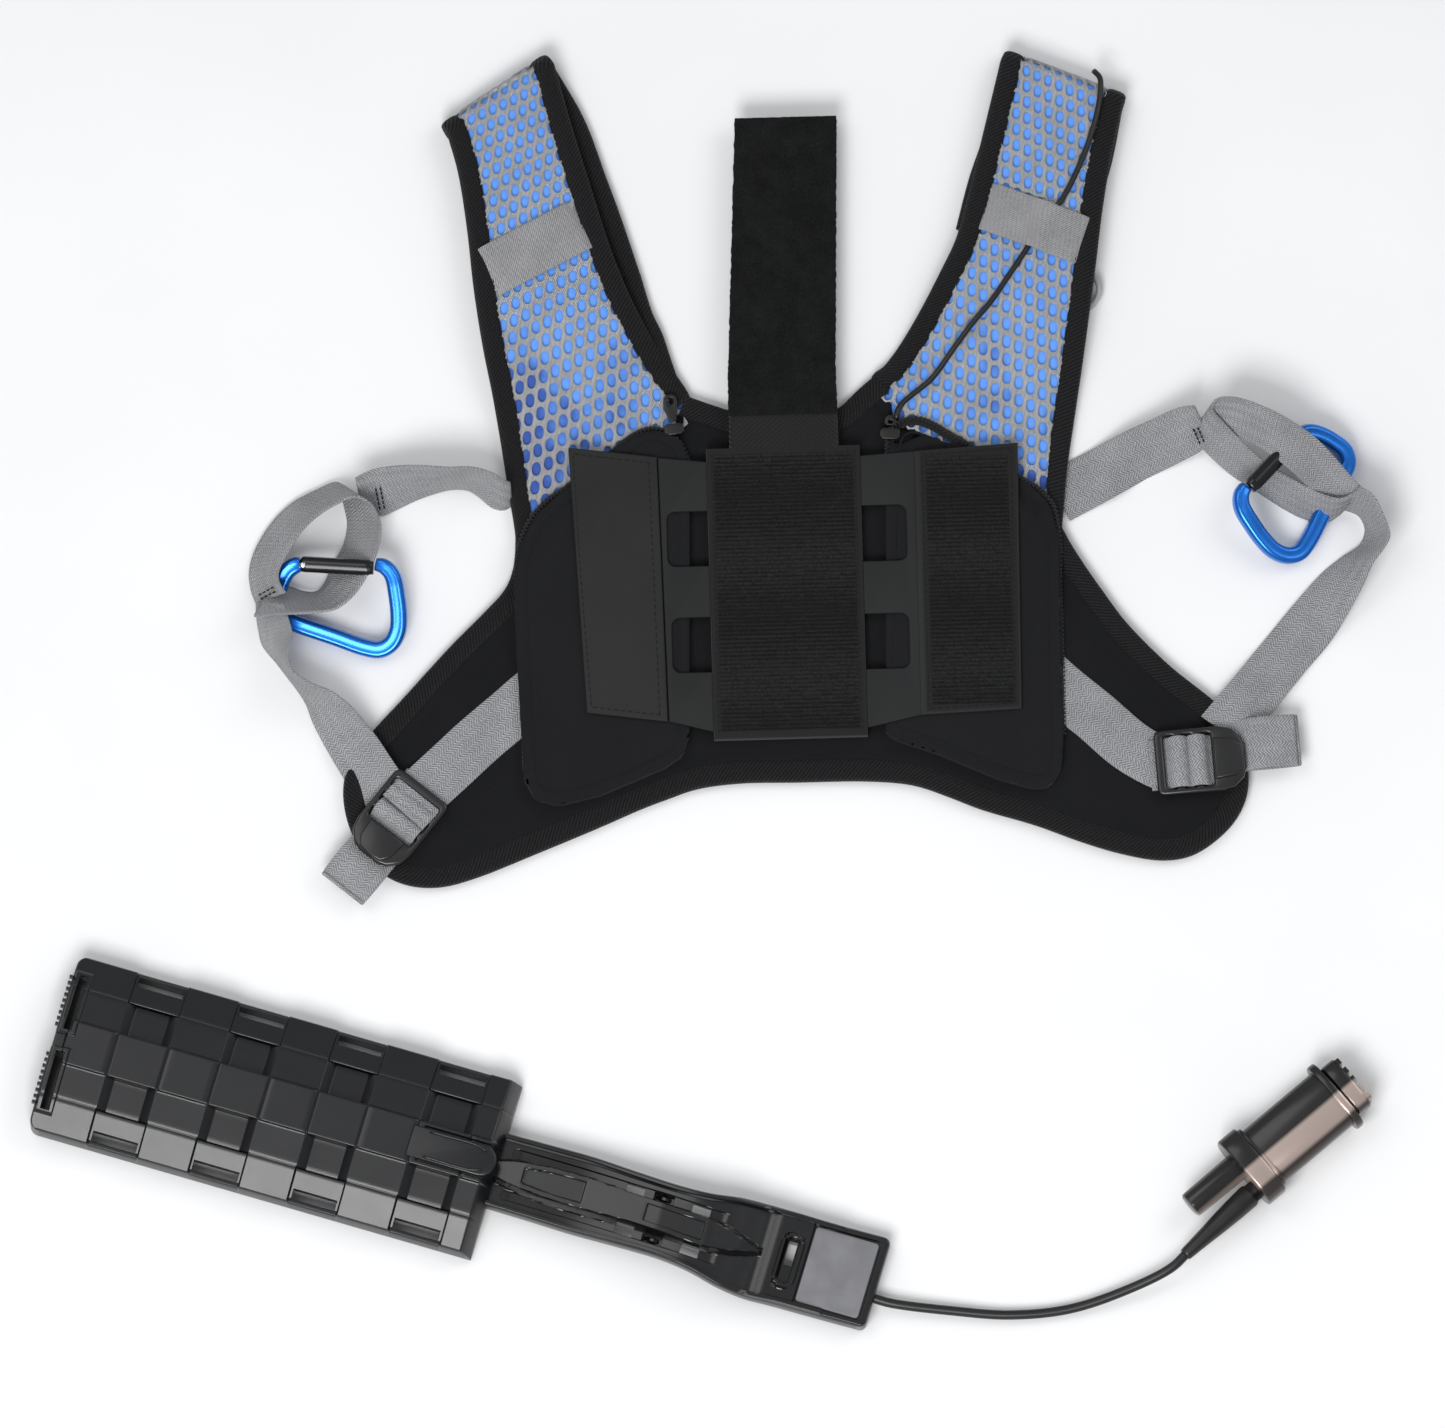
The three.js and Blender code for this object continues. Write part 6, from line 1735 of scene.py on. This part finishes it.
# ---------------------------------------------------------------- support strut: mast
# Along the strut: x, middle y, floor, half width, top.
MAST_STATIONS = [
    (150, 0, 5, 18, 13.5), (217, 0, 5, 18.3, 13.5), (240, 0, 5.2, 18.6, 13.7),
    (262, -0.2, 5.6, 18.9, 14.2), (285, -1, 8, 18.2, 16.5), (305, -2, 11.5, 18.0, 19.6),
    (320, -2.8, 12.6, 19.2, 20.4), (335, -3.2, 10.8, 22.0, 18.5), (348, -3.0, 6.5, 23, 14.7),
    (362, -2.2, 3, 22.8, 12.2), (380, -2, 2, 22.6, 11.4), (408, -1.5, 1.5, 22.6, 11.0)]
MAST = path(MAST_STATIONS, 1.0)
MAST = MAST[np.argsort(MAST[:, 0])]
WINDOWS = [(280.5, 289.5), (313.5, 322.5)]  # x of the openings beside the rib


def mast_at(x):
    """Middle y, floor, half width and top at x."""
    return [np.interp(x, MAST[:, 0], column) for column in MAST.T[1:]]


def mast_y(x, share):
    """Across the mast from a share in -1..1: middle, window band, stretch and rail, so that
    every edge follows the grid."""
    half = mast_at(x)[2]
    a = np.abs(share)
    stretch = 12.6 + (a - 0.62) / 0.18 * (half - 3.4 - 12.6)
    outer = np.where(a < 0.8, stretch, half - 3.4 * (1 - a) / 0.2)
    band = np.where(a < 0.62, 8.0 + (a - 0.4) / 0.22 * 4.6, outer)
    return np.sign(share) * np.where(a < 0.4, a / 0.4 * 8.0, band)


def mast_top(x, share):
    _, lo, half, top = mast_at(x)
    y = mast_y(x, share)
    out = np.abs(y)
    edge = half - out
    rim = 1 - ease(edge, 2.9, 0.8)
    base = lo + 4.6 + (top - lo - 4.6) * rim
    base -= 1.0 * inside(out, 8.0, 12.6, 0.6) * inside(x, 226, 330, 2.0)
    # boat-shaped middle rib with flat top, sloped flanks and two recessed plates
    rib_half = np.interp(x, [214, 226, 245, 262, 285, 306, 322, 336, 349],
                         [2.6, 5.4, 7.4, 7.6, 6.6, 6.6, 6.8, 4.6, 0.4])
    crest = np.interp(x, [214, 232, 262, 300, 325, 340, 349],
                      [14.5, 16.4, 18.2, 22.0, 22.6, 19.0, 14.0])
    rib = (crest - base) * np.clip((rib_half + 1.8 - out) / 1.8, 0, 1)
    z = base + np.where((x > 212) & (x < 350), np.maximum(rib, 0), 0)
    for x0, x1 in ((232, 262), (293, 322)):
        z -= 0.9 * inside(out, -1, np.maximum(rib_half - 2.4, 0.1), 0.5) * inside(x, x0, x1, 0.7)
    # between the windows, a recess with a small block in it
    z -= 3.2 * inside(out, 8.3, 12.3, 0.4) * inside(x, 294.5, 304, 0.6)
    z += 2.0 * inside(out, 9.4, 11.2, 0.5) * inside(x, 297, 301.5, 0.6)
    # concave field, then the flat end
    flat = ease(x, 352, 8)
    hollow = 0.9 * (1 - np.clip((x - 352) / 10, 0, 1)) * (out < half - 3)
    z = z * (1 - flat) + (top - 0.2 - hollow) * flat
    # end pad field inside a thin rim
    z -= 1.7 * inside(x, 371.5, 404.2, 0.7) * inside(y, -19.6, 19.6, 0.7)
    # lip round the cross slot
    r = np.sqrt((x - 364) ** 2 + np.maximum(np.abs(y + 1.0) - 8.4, 0) ** 2)
    z += 1.5 * (1 - ease(r, 5.4, 0.8)) * ease(r, 3.0, 0.7)
    z -= 2.4 * (1 - ease(r, 2.9, 0.6))
    # raised side rails up to the pad
    z += 1.6 * inside(x, 348, 386, 1.6) * inside(edge, 0.6, 3.0, 0.6)
    # rounded borders
    z -= 1.4 * np.clip((1.2 - edge) / 1.2, 0, 1) ** 2
    z -= 1.4 * np.clip((x - 406.6) / 1.4, 0, 1) ** 2
    return z


def mast_keep(x, share):
    """All but the windows and part of the cross slot."""
    y, a = mast_y(x, share), np.abs(share)
    keep = np.ones(x.shape, bool)
    for x0, x1 in WINDOWS:
        keep &= ~((x > x0) & (x < x1) & (a > 0.42) & (a < 0.61))
    return keep & ~((x > 361.8) & (x < 366.2) & (y > -3) & (y < 8.6))


def mast_place(x, share, z):
    """Moves the mast onto its middle line, with rounded outer corners at the end."""
    middle, _, half, _ = mast_at(x)
    y = mast_y(x, share)
    setback = corner_setback(np.abs(y), half, 3.3) * np.clip((x - 396) / 12.0, 0, 1)
    return on_strut(x - setback, middle + y, z)


def mast():
    plate("mast_pad", rounded(372.4, 403.3, -20.6, 16.8, 1.6), [], 8.0, 10.35, 0.3, mat_pad,
          "mast", on_strut, slot="support_plastic")
    features = [212, 232, 262, 293, 294.5, 304, 322, 352, 358.5, 361.8, 366.2, 369.5, 371.5,
                404.2, 407] + [q for window in WINDOWS for q in window]
    xs = grid_lines(150, 408, 1.5, features, 0.5)
    features = [s * q for s in (-1, 1)
                for q in (0.985, 0.95, 0.8, 0.83, 0.62, 0.61, 0.42, 0.4, 0.3)]
    shares = grid_lines(-1, 1, 0.02, features, 0.01)
    relief("mast_beam", xs, shares, mast_top, mast_keep, lambda x, share: mast_at(x)[1],
           mat_mast, "mast", mast_place, angle=30, slot="support_plastic", replaces=("mast",))


mast()

# ---------------------------------------------------------------- remote and cable
# Grip along the remote: x, width, height, power; the last rows turn back into a hollow end.
GRIP = [(5.0, 30.0, 17.8, 2.5), (5.25, 31.2, 19.0, 2.5), (5.8, 31.6, 19.4, 2.5),
        (50.2, 31.6, 19.4, 2.5), (50.2, 35.8, 20.4, 2.8), (50.45, 37.1, 21.7, 2.8),
        (51.1, 37.6, 22.2, 2.8), (53.3, 37.6, 22.2, 2.8), (53.95, 37.1, 21.7, 2.8),
        (54.2, 35.8, 20.4, 2.8), (54.2, 30.2, 18.2, 3.2), (53.9, 29.5, 17.5, 3.2),
        (49.1, 29.5, 17.5, 3.2)]
BARREL = [(-4.5, 13.4), (-6, 13.8), (-33.0, 13.0), (-34.2, 12.4), (-34.6, 11.0)]  # x, diameter
BOOT = [(-5.4, 9.6), (-8.8, 9.8), (-9.3, 11.0), (-10.4, 11.7), (-20, 10.9), (-30, 9.6),
        (-40, 7.9), (-50.6, 6.4), (-51.6, 6.0), (-52, 5.0)]                       # x, diameter
BARREL_Y = 4.6
in_boot = placer((0, -9.4), math.radians(2.6))
# Middle of the cable on the floor: x, y, z.
CABLE = [(77.425, -346.7184, 4.4), (105.925, -348.6608, 3.6), (134.425, -345.7472, 4.0),
         (162.925, -336.5208, 7.5)]


def on_boot(x, y, z):
    return on_remote(*in_boot(x, y, z).T)


def on_barrel(x, y, z):
    return on_remote(x, y + BARREL_Y, z)


def block(name, x0, x1, width, height, bevel, body, power, **kw):
    """Squarish block along the remote with rounded ends."""
    steps = []
    for q in np.radians((0, 30, 60, 90)):
        shrink = 2 * bevel * (1 - math.sin(q))
        steps.append((bevel * (1 - math.cos(q)), width - shrink, height - shrink))
    sections = [(x0 + x, w, h) for x, w, h in steps]
    sections += [(x1 - x, w, h) for x, w, h in reversed(steps)]
    rings(name, sections, mat_remote, body, on_remote, 56, power, angle=40,
          slot="remote_plastic", **kw)


def remote():
    rings("remote_grip", GRIP, mat_remote, "remote", on_remote, 56, angle=40,
          slot="remote_plastic", replaces=("remote_body",))
    block("remote_collar", -5.3, 5.3, 38.4, 23.2, 1.0, "remote", power=2.9)
    block("remote_collar_step", 5.2, 7.0, 34.5, 21.0, 0.5, "remote", power=3.6)
    block("button_cap", 54.9, 62.9, 28.6, 16.6, 1.2, "button", power=3.2,
          replaces=("remote_button",))
    along, across = axes(REMOTE_TURN)
    grips = [(on_remote(63.3, -10.8 + i * 5.4, 0), along * 1.1, across * 1.5, UP * 7.2)
             for i in range(5)]
    boxes("button_grips", grips, mat_remote, "button", slot="remote_plastic")
    rings("remote_barrel", [(x, d, d) for x, d in BARREL], mat_remote, "remote", on_barrel,
          36, angle=40, slot="remote_plastic")


def cable():
    """Boot at the remote, and the cable from the mast's end to it."""
    rings("cable_boot", [(x, d, d) for x, d in BOOT], mat_rubber, "remote", on_boot, 28,
          slot="cable_rubber", replaces=("strain_relief_boot",), angle=50)
    line = [on_strut(406.5, -8, 5.6), on_strut(416, -8, 5.6), *CABLE,
            on_boot(-60.5, 0, -1.0), on_boot(-50.5, 0, 0)]
    tube("cable_line", line, 2.3, mat_rubber, "remote", count=18, slot="cable_rubber",
         replaces=("cable_outer",))


remote()
cable()

# CAD pieces that keep their own shape get a steel finish
for node in ("button_spring", "lock_pawl"):
    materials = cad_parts[node].data.materials
    materials.clear()
    materials.append(mat_steel)

# ---------------------------------------------------------------- floor, light, camera (metres)
bpy.ops.mesh.primitive_plane_add(size=14, location=(0, 0, -0.0003))
floor = bpy.context.object
floor.name = "floor"
floor.data.materials.append(floor_material("pale_floor"))


def area_light(name, location, size, power):
    """Rectangular light aimed at the origin."""
    light = bpy.data.lights.new(name, "AREA")
    light.shape = "RECTANGLE"
    light.size, light.size_y = size
    light.energy = power
    light.color = (1, 1, 1)
    obj = bpy.data.objects.new(name, light)
    obj.location = location
    obj.rotation_euler = (-Vector(location)).to_track_quat("-Z", "Y").to_euler()
    scene.collection.objects.link(obj)


area_light("key", (-0.5, -1.65, 2.1), size=(1.3, 1.1), power=52)
area_light("fill", (1.6, 0.9, 2.0), size=(1.4, 1.4), power=12)
area_light("top", (-1.2, 0.5, 2.6), size=(1.6, 1.6), power=14)
world = bpy.data.worlds.new("studio")
world.use_nodes = True
background = world.node_tree.nodes["Background"]
background.inputs["Color"].default_value = (0.95, 0.97, 1.0, 1)
background.inputs["Strength"].default_value = 0.44
scene.world = world
scene.view_settings.view_transform = "Standard"
scene.view_settings.look = "None"

CAMERA_ELEVATION, CAMERA_DISTANCE = math.radians(78), 25.0
CAMERA_TARGET = Vector((-0.0306, -0.0588, 0.010))
SENSOR, VIEW_WIDTH = 36, 0.6864             # mm; width of the view at the target
camera = bpy.data.objects.new("camera", bpy.data.cameras.new("camera"))
scene.collection.objects.link(camera)
scene.camera = camera
back = Vector((0, -math.cos(CAMERA_ELEVATION), math.sin(CAMERA_ELEVATION)))
camera.location = CAMERA_TARGET + back * CAMERA_DISTANCE
camera.rotation_euler = (-back).to_track_quat("-Z", "Y").to_euler()
camera.data.sensor_width = SENSOR
camera.data.lens = SENSOR * CAMERA_DISTANCE / VIEW_WIDTH
camera.data.clip_start = 1.0
camera.data.clip_end = 100
